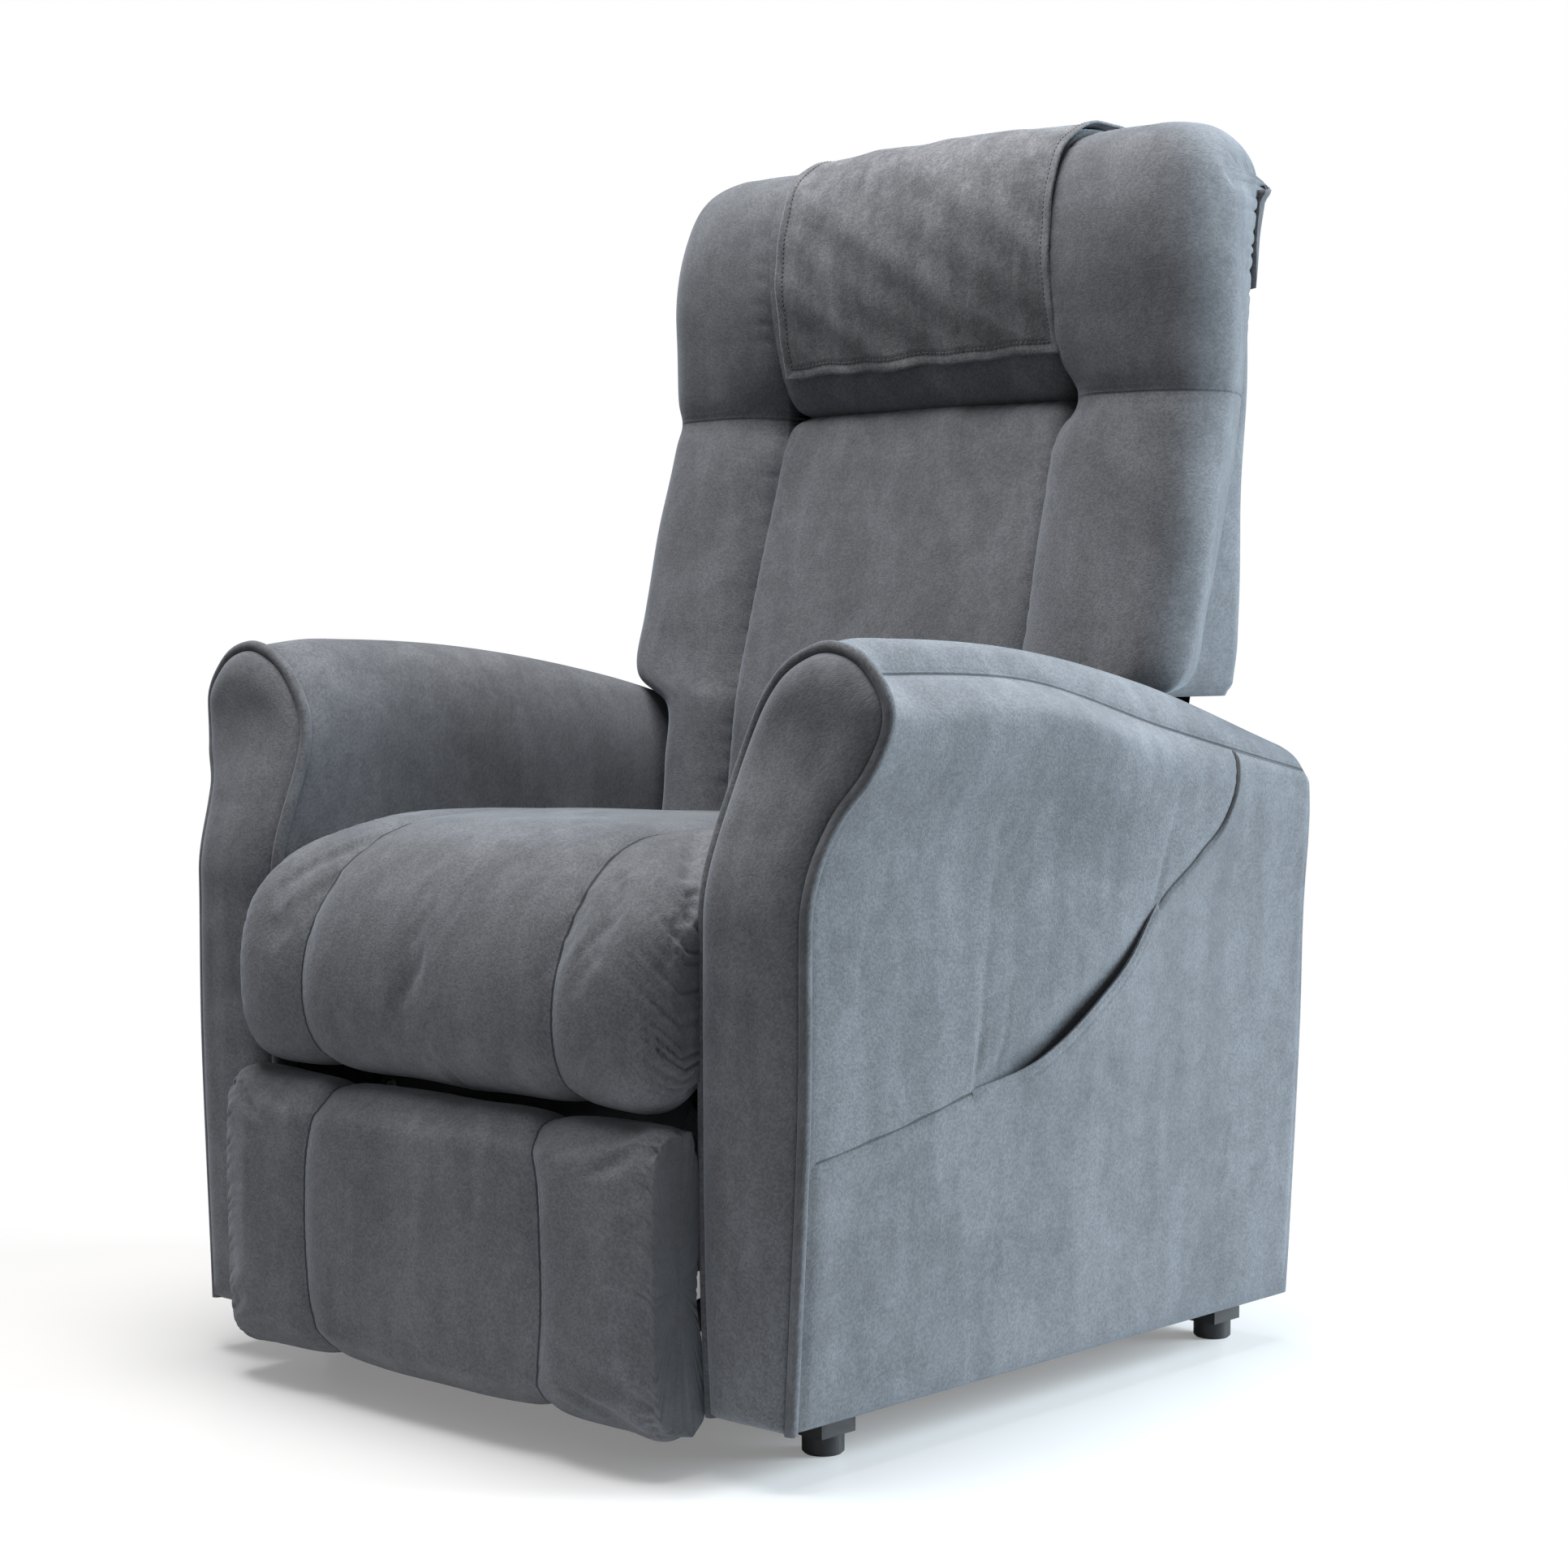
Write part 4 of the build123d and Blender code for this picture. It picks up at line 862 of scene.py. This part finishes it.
# ============================== Seat and footrest =================================================
@dataclass
class RollPad:
    """A pad whose side profile runs across the chair: rounded, gathered ends and two curved seams."""

    name: str
    node: str
    body: str
    profile: tuple[Point, ...]
    seam_x: tuple[Point, ...]
    end_reach: float = 0.046
    end_drop: float = 0.036
    crown: float = 0.008
    cap: float = 0.006
    pucker: float = 0.0046
    side_ease: float = 0.003
    fill: float = 0.75

    def loop(self, count: int) -> np.ndarray:
        """The closed side profile (y, z), evenly spaced along its length."""
        points = np.array(self.profile + self.profile[:3])
        step = length_run(points)
        dense = spline(step, points, np.linspace(step[1], step[len(self.profile) + 1], 4000))[:-1]
        run = length_run(dense)
        at = np.arange(count) * (run[-1] + np.linalg.norm(dense[0] - dense[-1])) / count
        return np.stack([np.interp(at, run, dense[:, 0]), np.interp(at, run, dense[:, 1])], -1)

    def bag(self, rows: int, cols: int) -> np.ndarray:
        """Plain bag: the profile carried across, drawn in round both ends along a quarter ellipse."""
        low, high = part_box(self.node)
        half = (high.x - low.x) / 2 + self.side_ease
        turn = np.linspace(0, math.pi / 2, rows // 6)
        left = -half + self.end_reach * (1 - np.cos(turn))
        level = np.linspace(left[-1], -left[-1], rows - 2 * len(turn) + 2)
        x = np.concatenate([left[:-1], level, -left[:-1][::-1]])
        into = np.clip((half - np.abs(x)) / self.end_reach, 0, 1)
        drop = self.end_drop * round_over(into)
        loop = self.loop(cols)
        step = np.roll(loop, -1, 0) - np.roll(loop, 1, 0)
        out = np.stack([step[:, 1], -step[:, 0]], -1) / np.linalg.norm(step, axis=1, keepdims=True)
        middle = loop.mean(0)
        if np.mean(np.sum(out * (loop - middle), -1)) < 0:
            out = -out
        facing = np.where(out[:, 0] > 0.5, 0.1, 1.0)
        flat = loop[None] - drop[:, None, None] * (facing[:, None] * out)[None]
        puff = self.crown * (1 - (x / half) ** 2)[:, None] * np.clip(out[None, :, 1], 0, 1)
        return np.stack([np.repeat(x[:, None], cols, 1), flat[..., 0], flat[..., 1] + puff], -1)

    def build(self, cloth: bpy.types.Material) -> None:
        """Swells the bag, then sews its seams and gathers into the finer mesh."""
        coarse = self.bag(72, 110)
        ends = np.zeros(coarse.shape[:2])
        ends[:3], ends[-3:] = 1.0, 1.0
        grid = finer(inflate(coarse, self.cap, ends), 190, 300)
        out = normals(grid)
        if np.mean(np.sum(out * (grid - grid.mean((0, 1))), -1)) < 0:
            out = -out
        half = np.abs(grid[..., 0]).max()
        seam = np.array(self.seam_x)
        seam_at = spline(seam[:, 0], seam[:, 1], grid[..., 2])
        from_seam = np.abs(np.abs(grid[..., 0]) - seam_at)
        around, _ = distances(grid)
        push = -0.0036 * bell(from_seam, 0.011) - 0.0022 * bell(from_seam, 0.030)
        push += gathers(around, half - np.abs(grid[..., 0]) - 0.006, 0.016, 0.0125, self.pucker, 21)
        push += gathers(around, from_seam, 0.006, 0.010, 0.0007, 33)
        push += 0.0010 * waver(grid[..., 0] + 0.5 * around, (0.11, 0.19, 0.31), 17)
        make(self.name, tube(grid + out * push[..., None], np.abs(grid[..., 0]) - seam_at), cloth, self.body,
             (self.node,))


# ============================== Back ==============================================================
@dataclass
class Back:
    """Tufted back: a lower and an upper middle panel between two full-height bolsters, and a head cloth.

    The middle panels follow a side profile; a bolster is a smooth net of points whose rows run from
    the seat over the crest to the rear, and whose columns run from the crease out round the wing.
    """

    half: float = 0.172
    tuft_z: float = 0.860
    seam_x: float = 0.295
    inner_top: float = 1.000
    inner_rear: float = 0.372
    inner_foot: Point = (0.205, 0.470)
    inner_lean: float = 0.176
    lumbar: tuple[Point, ...] = ((.134, .458), (.142, .520), (.152, .585), (.170, .650), (.190, .720),
                                 (.208, .780), (.221, .825), (.235, .853), (.258, .863))
    head: tuple[Point, ...] = ((.264, .862), (.240, .870), (.223, .898), (.210, .945), (.204, .990),
                               (.208, 1.040), (.226, 1.086), (.258, 1.109), (.300, 1.113), (.340, 1.107),
                               (.376, 1.094), (.399, 1.071), (.399, 1.050))
    wing: tuple[tuple[float, float, float, float], ...] = (
        (.126, .458, .262, .030), (.132, .520, .262, .030), (.143, .578, .270, .034), (.153, .612, .328, .044),
        (.166, .670, .336, .052), (.182, .740, .336, .054), (.197, .805, .335, .056), (.206, .845, .334, .058),
        (.209, .862, .333, .060), (.206, .882, .334, .064), (.201, .930, .335, .072), (.198, .985, .334, .076),
        (.206, 1.040, .332, .076), (.226, 1.084, .328, .072), (.260, 1.106, .322, .062),
        (.300, 1.111, .314, .048), (.340, 1.105, .305, .040), (.374, 1.090, .296, .034),
        (.394, 1.066, .288, .030), (.392, 1.040, .281, .026))
    seam: tuple[Point, ...] = ((.175, .470), (.190, .530), (.226, .584), (.263, .606), (.285, .670),
                               (.310, .745), (.328, .805), (.336, .842), (.339, .858), (.343, .878),
                               (.350, .925), (.356, .975), (.362, 1.016), (.368, 1.036), (.374, 1.048),
                               (.380, 1.055), (.385, 1.058), (.389, 1.057), (.392, 1.051), (.393, 1.040))

    def crease_share(self, z: np.ndarray) -> np.ndarray:
        """Depth of the side creases at height z, as a share: deepest at the tuft, shallow at the crown."""
        return np.where(z > self.tuft_z, 0.16 + 0.84 * bell(z - self.tuft_z, 0.085), 0.85)

    def inner_face(self, z: np.ndarray) -> np.ndarray:
        """Y of the pads' flat inner face at height z: a straight line that leans back."""
        return self.inner_foot[0] + (z - self.inner_foot[1]) * self.inner_lean

    def slot_normals(self, line: np.ndarray) -> np.ndarray:
        """Normals (y, z) of a side profile that point out of the back: forwards, up, then rearwards."""
        step = unit(np.gradient(line, axis=0))
        return np.stack([-step[:, 1], step[:, 0]], -1)

    def middle(self, name: str, node: str, profile: tuple[Point, ...], depth: float, rows: int,
               cloth: bpy.types.Material, fill: float) -> None:
        """One middle panel: its profile carried across, falling into a crease at both sides.

        Args:
            name: the piece's name.
            node: CAD node it stands for.
            profile: side profile (y, z) from bottom to top.
            depth: depth of the side creases.
            rows: rows along the profile.
            cloth: its finish.
            fill: how full it is; not used.
        """
        line = spline(np.linspace(0, 1, len(profile)), np.array(profile), np.linspace(0, 1, rows))
        out = self.slot_normals(line)
        wide = self.half + 0.004
        x = wide * np.sin(np.linspace(-1.38, 1.38, 130)) / math.sin(1.38)
        rim = np.clip((wide - np.abs(x)) / 0.020, 0, 1)
        fall = depth * round_over(rim)[None] * self.crease_share(line[:, 1:])
        crown = 0.005 * (1 - (x / self.half) ** 2)[None]
        z = line[:, 1][:, None]
        puff = crown - fall + 0.0014 * waver(x[None] + 0.35 * z, (0.13, 0.22), 5)
        puff = puff + gathers(z, (wide - np.abs(x))[None] - 0.004, 0.008, 0.021, 0.0010, 41)
        puff = puff + gathers(x[None], np.abs(z - self.tuft_z), 0.012, 0.019, 0.0012, 43)
        flat = line[:, None] + out[:, None] * puff[..., None]
        across = np.repeat(x[None], rows, 0)
        front = np.stack([across, flat[..., 0], flat[..., 1]], -1)
        low = np.minimum(line[:, 1], self.inner_top)
        back_y = np.maximum(self.inner_face(low), line[:, 0] + 0.02)
        back = front.copy()
        back[..., 1] = np.minimum(back_y, self.inner_rear)[:, None]
        back[..., 2] = np.minimum(flat[..., 1], low[:, None])
        make(name, slab(front, back), cloth, "backrest", (node,))

    def wing_net(self) -> np.ndarray:
        """Net of the right bolster, (rows, columns, 3), worked out from the crest line and the seam.

        Columns climb out of the crease, run level to the edge's rounding, turn a quarter circle round
        it, cross the outer side to the seam on a curve that bends in faster and faster, and end in the
        gusset behind the seam.
        """
        crest = np.array([row[:2] for row in self.wing])
        edge, radius = np.array([row[2] for row in self.wing]), np.array([row[3] for row in self.wing])
        seam = np.array(self.seam)
        out = self.slot_normals(crest)
        tight = self.crease_share(crest[:, 1])[:, None]
        columns = []

        def column(x: np.ndarray, rise: np.ndarray) -> None:
            """Adds a column at x, raised from the crest line along its own normals."""
            at = crest + out * rise
            columns.append(np.stack([x, at[:, 0], at[:, 1]], -1))

        level = edge - radius - self.half
        for share, rise in ((-0.06, -0.030), (0.03, -0.015), (0.20, -0.004), (0.50, 0.003), (0.80, 0.002)):
            column(self.half + level * share, rise * tight)
        for turn in (0.0, 0.42, 0.80, 1.18, 1.5):
            column(edge - radius + radius * math.sin(turn), -(radius * (1 - math.cos(turn)))[:, None])
        foot = columns[-1]
        rear_x = np.minimum(self.seam_x, edge - 0.008)
        for share in (0.22, 0.45, 0.68, 0.86, 1.0):
            mix = foot[:, 1:] * (1 - share) + seam * share
            columns.append(np.stack([foot[:, 0] - (foot[:, 0] - rear_x) * share ** 1.4, *mix.T], -1))
        back = np.stack([np.full(len(seam), 0.95), np.full(len(seam), 0.30)], -1) * np.clip(
            (0.400 - seam[:, :1]) / 0.05, 0.15, 1.0)
        for reach, into in ((0.006, 0.007), (0.011, 0.016), (0.014, 0.026)):
            at = seam + back * [reach, -reach * 0.4]
            columns.append(np.stack([rear_x - into, at[:, 0], at[:, 1]], -1))
        return np.stack(columns, 1)

    def bolster(self, side: Side, cloth: bpy.types.Material) -> None:
        """One bolster: its net made smooth, pinched at the tuft, gathered round its upper outer edge."""
        net = self.wing_net()
        rows, cols, seam_column = 300, 210, 14
        tall = spline(np.arange(len(net)), net, np.linspace(0, len(net) - 1, rows))
        grid = np.swapaxes(spline(np.arange(net.shape[1]), np.swapaxes(tall, 0, 1),
                                  np.linspace(0, net.shape[1] - 1, cols)), 0, 1)
        out = normals(grid)
        if out[rows // 2, cols // 4, 1] > 0:
            out = -out
        around, along = distances(grid)
        column = np.linspace(0, net.shape[1] - 1, cols)[None]
        to_seam = around - around[:, [round(seam_column * (cols - 1) / (net.shape[1] - 1))]]
        past_tuft = grid[..., 2] - self.tuft_z - 0.002
        facing = ease(-column, -10.5, -8.5)
        upper = ease(grid[..., 2], 0.90, 1.00)
        near_crease = ease(-around, -0.09, -0.010)
        push = -facing * (0.015 * near_crease * bell(past_tuft, 0.030) + 0.0024 * bell(past_tuft, 0.016))
        push += gathers(along, -to_seam, 0.034, 0.0145, 0.0074, 51) * upper * ease(-to_seam, 0.0, 0.003)
        push += gathers(along, -to_seam, 0.010, 0.0125, 0.0012, 55) * ease(-to_seam, 0.0, 0.003)
        push += gathers(along, around - 0.012, 0.010, 0.022, 0.0014, 57)
        push -= 0.0022 * bell(to_seam, 0.0060)
        push += 0.0015 * waver(grid[..., 2] + 0.6 * grid[..., 0], (0.12, 0.21, 0.33), 61) * facing
        front = grid + out * push[..., None]
        back = front.copy()
        back[..., 0] = np.clip(front[..., 0], 0.185, 0.268)
        low = np.minimum(front[..., 2], self.inner_top)
        back[..., 1] = np.maximum(np.minimum(self.inner_face(low), self.inner_rear), front[..., 1] * 0.3)
        back[..., 2] = np.minimum(front[..., 2], 1.03)
        for part in (front, back):
            part[..., 0] *= side.value
        name = side.label
        tuck = np.where(column < 14.2, np.hypot(past_tuft, 0.0012), 0.5)
        make(f"bolster_{name}", slab(front, back, to_seam, tuck), cloth, "backrest",
             (f"back_bolster_{name}",))

    def head_cloth(self, cloth: bpy.types.Material) -> None:
        """Hemmed cloth draped over the head panel: hangs in shallow ripples, with a stitched hem."""
        line = spline(np.linspace(0, 1, len(self.head)), np.array(self.head), np.linspace(0.176, 0.90, 180))
        out = self.slot_normals(line)
        half, askew = 0.1675, 0.013
        x = np.linspace(-half, half, 160)
        run = length_run(line)[:, None]
        hang = np.exp(-run / 0.16)
        ripple = 0.0030 * waver(x[None] + 0.02 * run, (0.043, 0.071, 0.12), 71) * hang \
            + 0.0012 * waver(x[None] * 0.6 + run, (0.05, 0.09), 73)
        edge = np.minimum(half - np.abs(x)[None], run)
        hem = 0.0011 * (1 - ease(edge, 0.008, 0.011)) - 0.0008 * bell(edge - 0.0085, 0.0014)
        rise = 0.0044 + 0.005 * (1 - (x[None] / half) ** 2) + ripple + hem
        place = line[:, None] + out[:, None] * rise[..., None]
        wave = (0.0015 * waver(x[None], (0.06, 0.11), 75) + 0.016 * x[None]) * hang
        front = np.stack([np.repeat(x[None] + askew, len(line), 0), place[..., 0], place[..., 1] + wave], -1)
        n = normals(front)
        n = n if n[5, 75, 1] < 0 else -n
        edge = np.broadcast_to(edge, front.shape[:2])
        mesh = slab(front, front - 0.0022 * n, np.hypot(edge - 0.0085, 0.0013))
        piece = make("head_cloth", mesh, cloth, "backrest", ("headrest_cover",))
        self.stitching(front, n, cloth)

    def stitching(self, front: np.ndarray, n: np.ndarray, thread: bpy.types.Material) -> None:
        """Stitches along the hem and up both sides: small six-pointed beads, one every 4.6 mm."""
        points, faces = [], []
        sides = np.array([[0, 1, 4], [1, 2, 4], [2, 3, 4], [3, 0, 4], [1, 0, 5], [2, 1, 5], [3, 2, 5], [0, 3, 5]])
        shape = np.array([[1, 0, 0], [0, .38, 0], [-1, 0, 0], [0, -.38, 0], [0, 0, .45], [0, 0, -.45]]) * 0.0016
        for line, facing in ((front[5, 3:-3], n[5, 3:-3]), (front[5:120, 4], n[5:120, 4]),
                             (front[5:120, -5], n[5:120, -5])):
            run = length_run(line)
            at = np.arange(0.003, run[-1], 0.0046)
            centre = np.stack([np.interp(at, run, line[:, k]) for k in range(3)], -1)
            up = np.stack([np.interp(at, run, facing[:, k]) for k in range(3)], -1)
            along = unit(np.gradient(centre, axis=0))
            beads = (centre[:, None] + 0.0004 * up[:, None] + shape[None, :, :1] * along[:, None]
                     + shape[None, :, 1:2] * np.cross(up, along)[:, None] + shape[None, :, 2:] * up[:, None])
            start = sum(len(one) for one in points)
            faces.append((sides[None] + start + 6 * np.arange(len(at))[:, None, None]).reshape(-1, 3))
            points.append(beads.reshape(-1, 3))
        every = np.concatenate(points)
        make("head_cloth_stitching", Mesh(every, np.concatenate(faces).tolist(), every * 1.0, every * 0), thread,
             "backrest")

    def shell(self, cloth: bpy.types.Material) -> None:
        """Outer back: a padded sleeve round the sides and the rear, with rounded upright corners."""
        low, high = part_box("back_shell")
        z = np.linspace(low.z, high.z + 0.004, 120)
        share = (z - low.z) / (high.z - low.z)
        rear = (high.y - 0.019) + 0.019 * share
        front = spline(np.array([0.0, .10, .35, .60, .85, 1.0]),
                       np.array([.225, .262, .300, .330, .350, .358]), share)
        corner, half = 0.026, high.x
        turn = np.linspace(0, math.pi / 2, 12)
        legs = []
        for yf, yr in zip(front, rear):
            leg_y = np.linspace(yf, yr - corner, 30)[:-1]
            arc_x, arc_y = half - corner + corner * np.cos(turn), yr - corner + corner * np.sin(turn)
            mid = np.linspace(half - corner, 0, 46)[1:]
            right = np.stack([np.concatenate([np.full(29, half), arc_x, mid]),
                              np.concatenate([leg_y, arc_y, np.full(45, yr)])], -1)
            legs.append(np.concatenate([right, right[:-1][::-1] * [-1, 1]]))
        loop = np.array(legs)
        grid = np.stack([loop[..., 0], loop[..., 1], np.repeat(z[:, None], loop.shape[1], 1)], -1)
        out = normals(grid)
        if out[60, 5, 0] < 0:
            out = -out
        around, along = distances(grid)
        ends = np.minimum(along, along[-1:] - along)
        puff = 0.004 * ease(ends, 0, 0.05) + 0.0015 * waver(grid[..., 0] + grid[..., 2], (0.17, 0.29), 81)
        puff -= 0.006 * (1 - ease(ends, 0, 0.012))
        lip = np.minimum(around, around[:, -1:] - around)
        puff -= 0.004 * (1 - ease(lip, 0, 0.015))
        make("outer_back", slab(grid + out * (puff - 0.003)[..., None], grid + out * (puff - 0.014)[..., None]),
             cloth, "backrest", ("back_shell",))

    def skirt(self, lining: bpy.types.Material) -> None:
        """Black lining that closes the gap under the outer back, slack between its ends."""
        low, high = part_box("back_skirt")
        x = np.linspace(low.x, high.x, 90)
        path = spline(np.array([0, .35, .8, 1.0]), np.array([[.302, .470], [.318, .512], [.341, .588],
                                                            [.3445, .618]]), np.linspace(0, 1, 50))
        sag = 0.003 * np.sin(np.linspace(0, math.pi, 50))[:, None] * (0.6 + 0.4 * waver(x[None], (.09, .14), 91))
        front = np.stack([np.repeat(x[None], 50, 0), path[:, :1] - sag, np.repeat(path[:, 1:], 90, 1)], -1)
        back = front - [0, 0.0015, 0]
        piece = make("dust_flap", slab(front, back), lining, "backrest", ("back_skirt",))

    def build(self, finishes: Finishes) -> None:
        """Builds the back's pieces."""
        cloth = finishes.made["upholstery"]
        self.middle("lumbar_pad", "lumbar_cushion", self.lumbar, 0.020, 190, cloth, 0.7)
        self.middle("head_pad", "head_cushion", self.head, 0.016, 200, cloth, 0.8)
        for side in Side:
            self.bolster(side, cloth)
        self.head_cloth(finishes.made["headrest_cloth"])
        self.shell(cloth)
        self.skirt(finishes.made["lining"])


@dataclass
class RearCover:
    """Upholstered board between the arms at the rear, with one upright seam at its middle."""

    def build(self, cloth: bpy.types.Material) -> None:
        """A shallow pillow over the board: the face swells by the product of two half waves."""
        low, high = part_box("rear_panel")
        x, z = np.linspace(low.x + .001, high.x - .001, 150), np.linspace(low.z, high.z, 120)
        across, up = np.meshgrid(x, z)
        share_x, share_z = (across - low.x) / (high.x - low.x), (up - low.z) / (high.z - low.z)
        swell = 0.006 * (np.sin(math.pi * share_x) * np.sin(math.pi * share_z)) ** 0.35
        swell = swell - 0.002 * bell(across, 0.009) + 0.001 * waver(across + up, (.12, .2), 95)
        front = np.stack([across, np.full_like(across, high.y - 0.003) + swell, up], -1)
        back = np.stack([across, np.full_like(across, low.y), up], -1)
        make("rear_cover", slab(front, back, across), cloth, "chair_body", ("rear_panel",))


# ============================== Studio ============================================================
@dataclass
class Studio:
    """Pale floor that fades into a white room, soft lamps and the camera."""

    camera_at: tuple[float, float, float] = (1.848, -1.968, 0.640)
    camera_tilt: float = -2.73
    camera_turn: float = 42.6
    lens: float = 68.6
    room_light: float = 0.22
    floor_radius: float = 3.0
    floor_sides: int = 96

    def lamp(self, name: str, at: tuple[float, float, float], towards: tuple[float, float, float],
             size: float, power: float, colour: tuple[float, float, float] = (1, 1, 1)) -> None:
        """Square soft lamp at a point, aimed at another."""
        data = bpy.data.lights.new(name, "AREA")
        data.size, data.energy, data.color = size, power, colour
        lamp = link(name, data)
        lamp.location = at
        aim = np.array(at) - np.array(towards)
        lamp.rotation_euler = (math.atan2(math.hypot(aim[0], aim[1]), aim[2]), 0,
                               math.atan2(aim[0], -aim[1]))

    def floor(self) -> None:
        """Round floor, pale and slightly glossy, transparent towards its edge."""
        turn = np.linspace(0, 2 * math.pi, self.floor_sides, endpoint=False)
        data = bpy.data.meshes.new("studio_floor")
        rim = self.floor_radius * np.stack([np.cos(turn), np.sin(turn), turn * 0], -1)
        data.from_pydata(rim.tolist(), [], [list(range(self.floor_sides))])
        floor = link("studio_floor", data)
        material, s, shader, place = new_material("studio_floor")
        shader.inputs["Base Color"].default_value = (0.93, 0.93, 0.935, 1)
        shader.inputs["Roughness"].default_value = 0.22
        shader.inputs["Specular IOR Level"].default_value = 0.35
        reach = s.add("ShaderNodeVectorMath", operation="LENGTH")
        s.feed(reach.inputs[0], place)
        s.feed(shader.inputs["Alpha"], s.add("ShaderNodeMapRange", interpolation_type="SMOOTHERSTEP",
               in_Value=reach.outputs["Value"], in_From_Min=0.55, in_From_Max=1.35, in_To_Min=0.78,
               in_To_Max=0.0).outputs["Result"])
        data.materials.append(material)

    def build(self) -> None:
        """Makes the camera, floor, lamps and the white surround."""
        scene = bpy.context.scene
        data = bpy.data.cameras.new("camera")
        data.lens, data.sensor_width = self.lens, 36.0
        camera = link("camera", data)
        camera.location = self.camera_at
        camera.rotation_euler = (math.radians(90 + self.camera_tilt), 0, math.radians(self.camera_turn))
        scene.camera = camera
        scene.view_settings.view_transform = "Standard"
        self.floor()
        self.lamp("window_right", (2.5, 2.3, 1.5), (0.2, 0, 0.55), 1.8, 270, (0.80, 0.93, 1.0))
        self.lamp("top", (-0.2, -0.3, 3.2), (0, 0, 0.5), 2.0, 138, (1.0, 0.99, 0.98))
        world = bpy.data.worlds.new("white_room")
        scene.world = world
        world.use_nodes = True
        s = Sheet(world.node_tree)
        sky = world.node_tree.nodes["Background"]
        seen = s.add("ShaderNodeLightPath").outputs["Is Camera Ray"]
        s.feed(sky.inputs["Strength"], s.calc("MULTIPLY_ADD", seen, 1.0 - self.room_light, self.room_light))
        s.feed(sky.inputs["Color"], s.blend(seen, (1.0, 0.965, 0.955, 1), (1, 1, 1, 1)))


SEAT = RollPad(
    "seat_pad", "seat_cushion", "chair_body",
    profile=((.118, .320), (.116, .400), (.112, .452), (.060, .463), (-.040, .470), (-.140, .476),
             (-.230, .477), (-.300, .471), (-.348, .455), (-.380, .425), (-.394, .386), (-.396, .345),
             (-.391, .308), (-.376, .284), (-.345, .276), (-.312, .290), (-.230, .318), (-.060, .320)),
    seam_x=((.27, .150), (.33, .154), (.39, .154), (.45, .152), (.485, .146)), cap=0.009)
FOOTREST = RollPad(
    "footrest_cushion", "footrest_pad", "footrest",
    profile=((-.342, .034), (-.342, .140), (-.342, .252), (-.348, .268), (-.364, .273), (-.383, .269),
             (-.395, .252), (-.399, .218), (-.400, .170), (-.399, .115), (-.397, .070), (-.391, .042),
             (-.378, .030), (-.354, .027)),
    seam_x=((.03, .130), (.08, .141), (.169, .146), (.22, .142), (.26, .130)), end_reach=0.020,
    end_drop=0.012, crown=0.0, cap=0.004, pucker=0.0020, fill=0.6)


def main() -> None:
    """Builds the chair's pieces in order, then its studio."""
    logging.basicConfig(level=logging.INFO, format="%(message)s")
    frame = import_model()
    finishes = Finishes()
    finishes.build()
    finishes.dress_frame(frame)
    Studio().build()
    for side in Side:
        Arm(side).build(finishes)
    SEAT.build(finishes.made["upholstery"])
    FOOTREST.build(finishes.made["upholstery"])
    Back().build(finishes)
    RearCover().build(finishes.made["upholstery"])


if __name__ == "__main__":
    main()
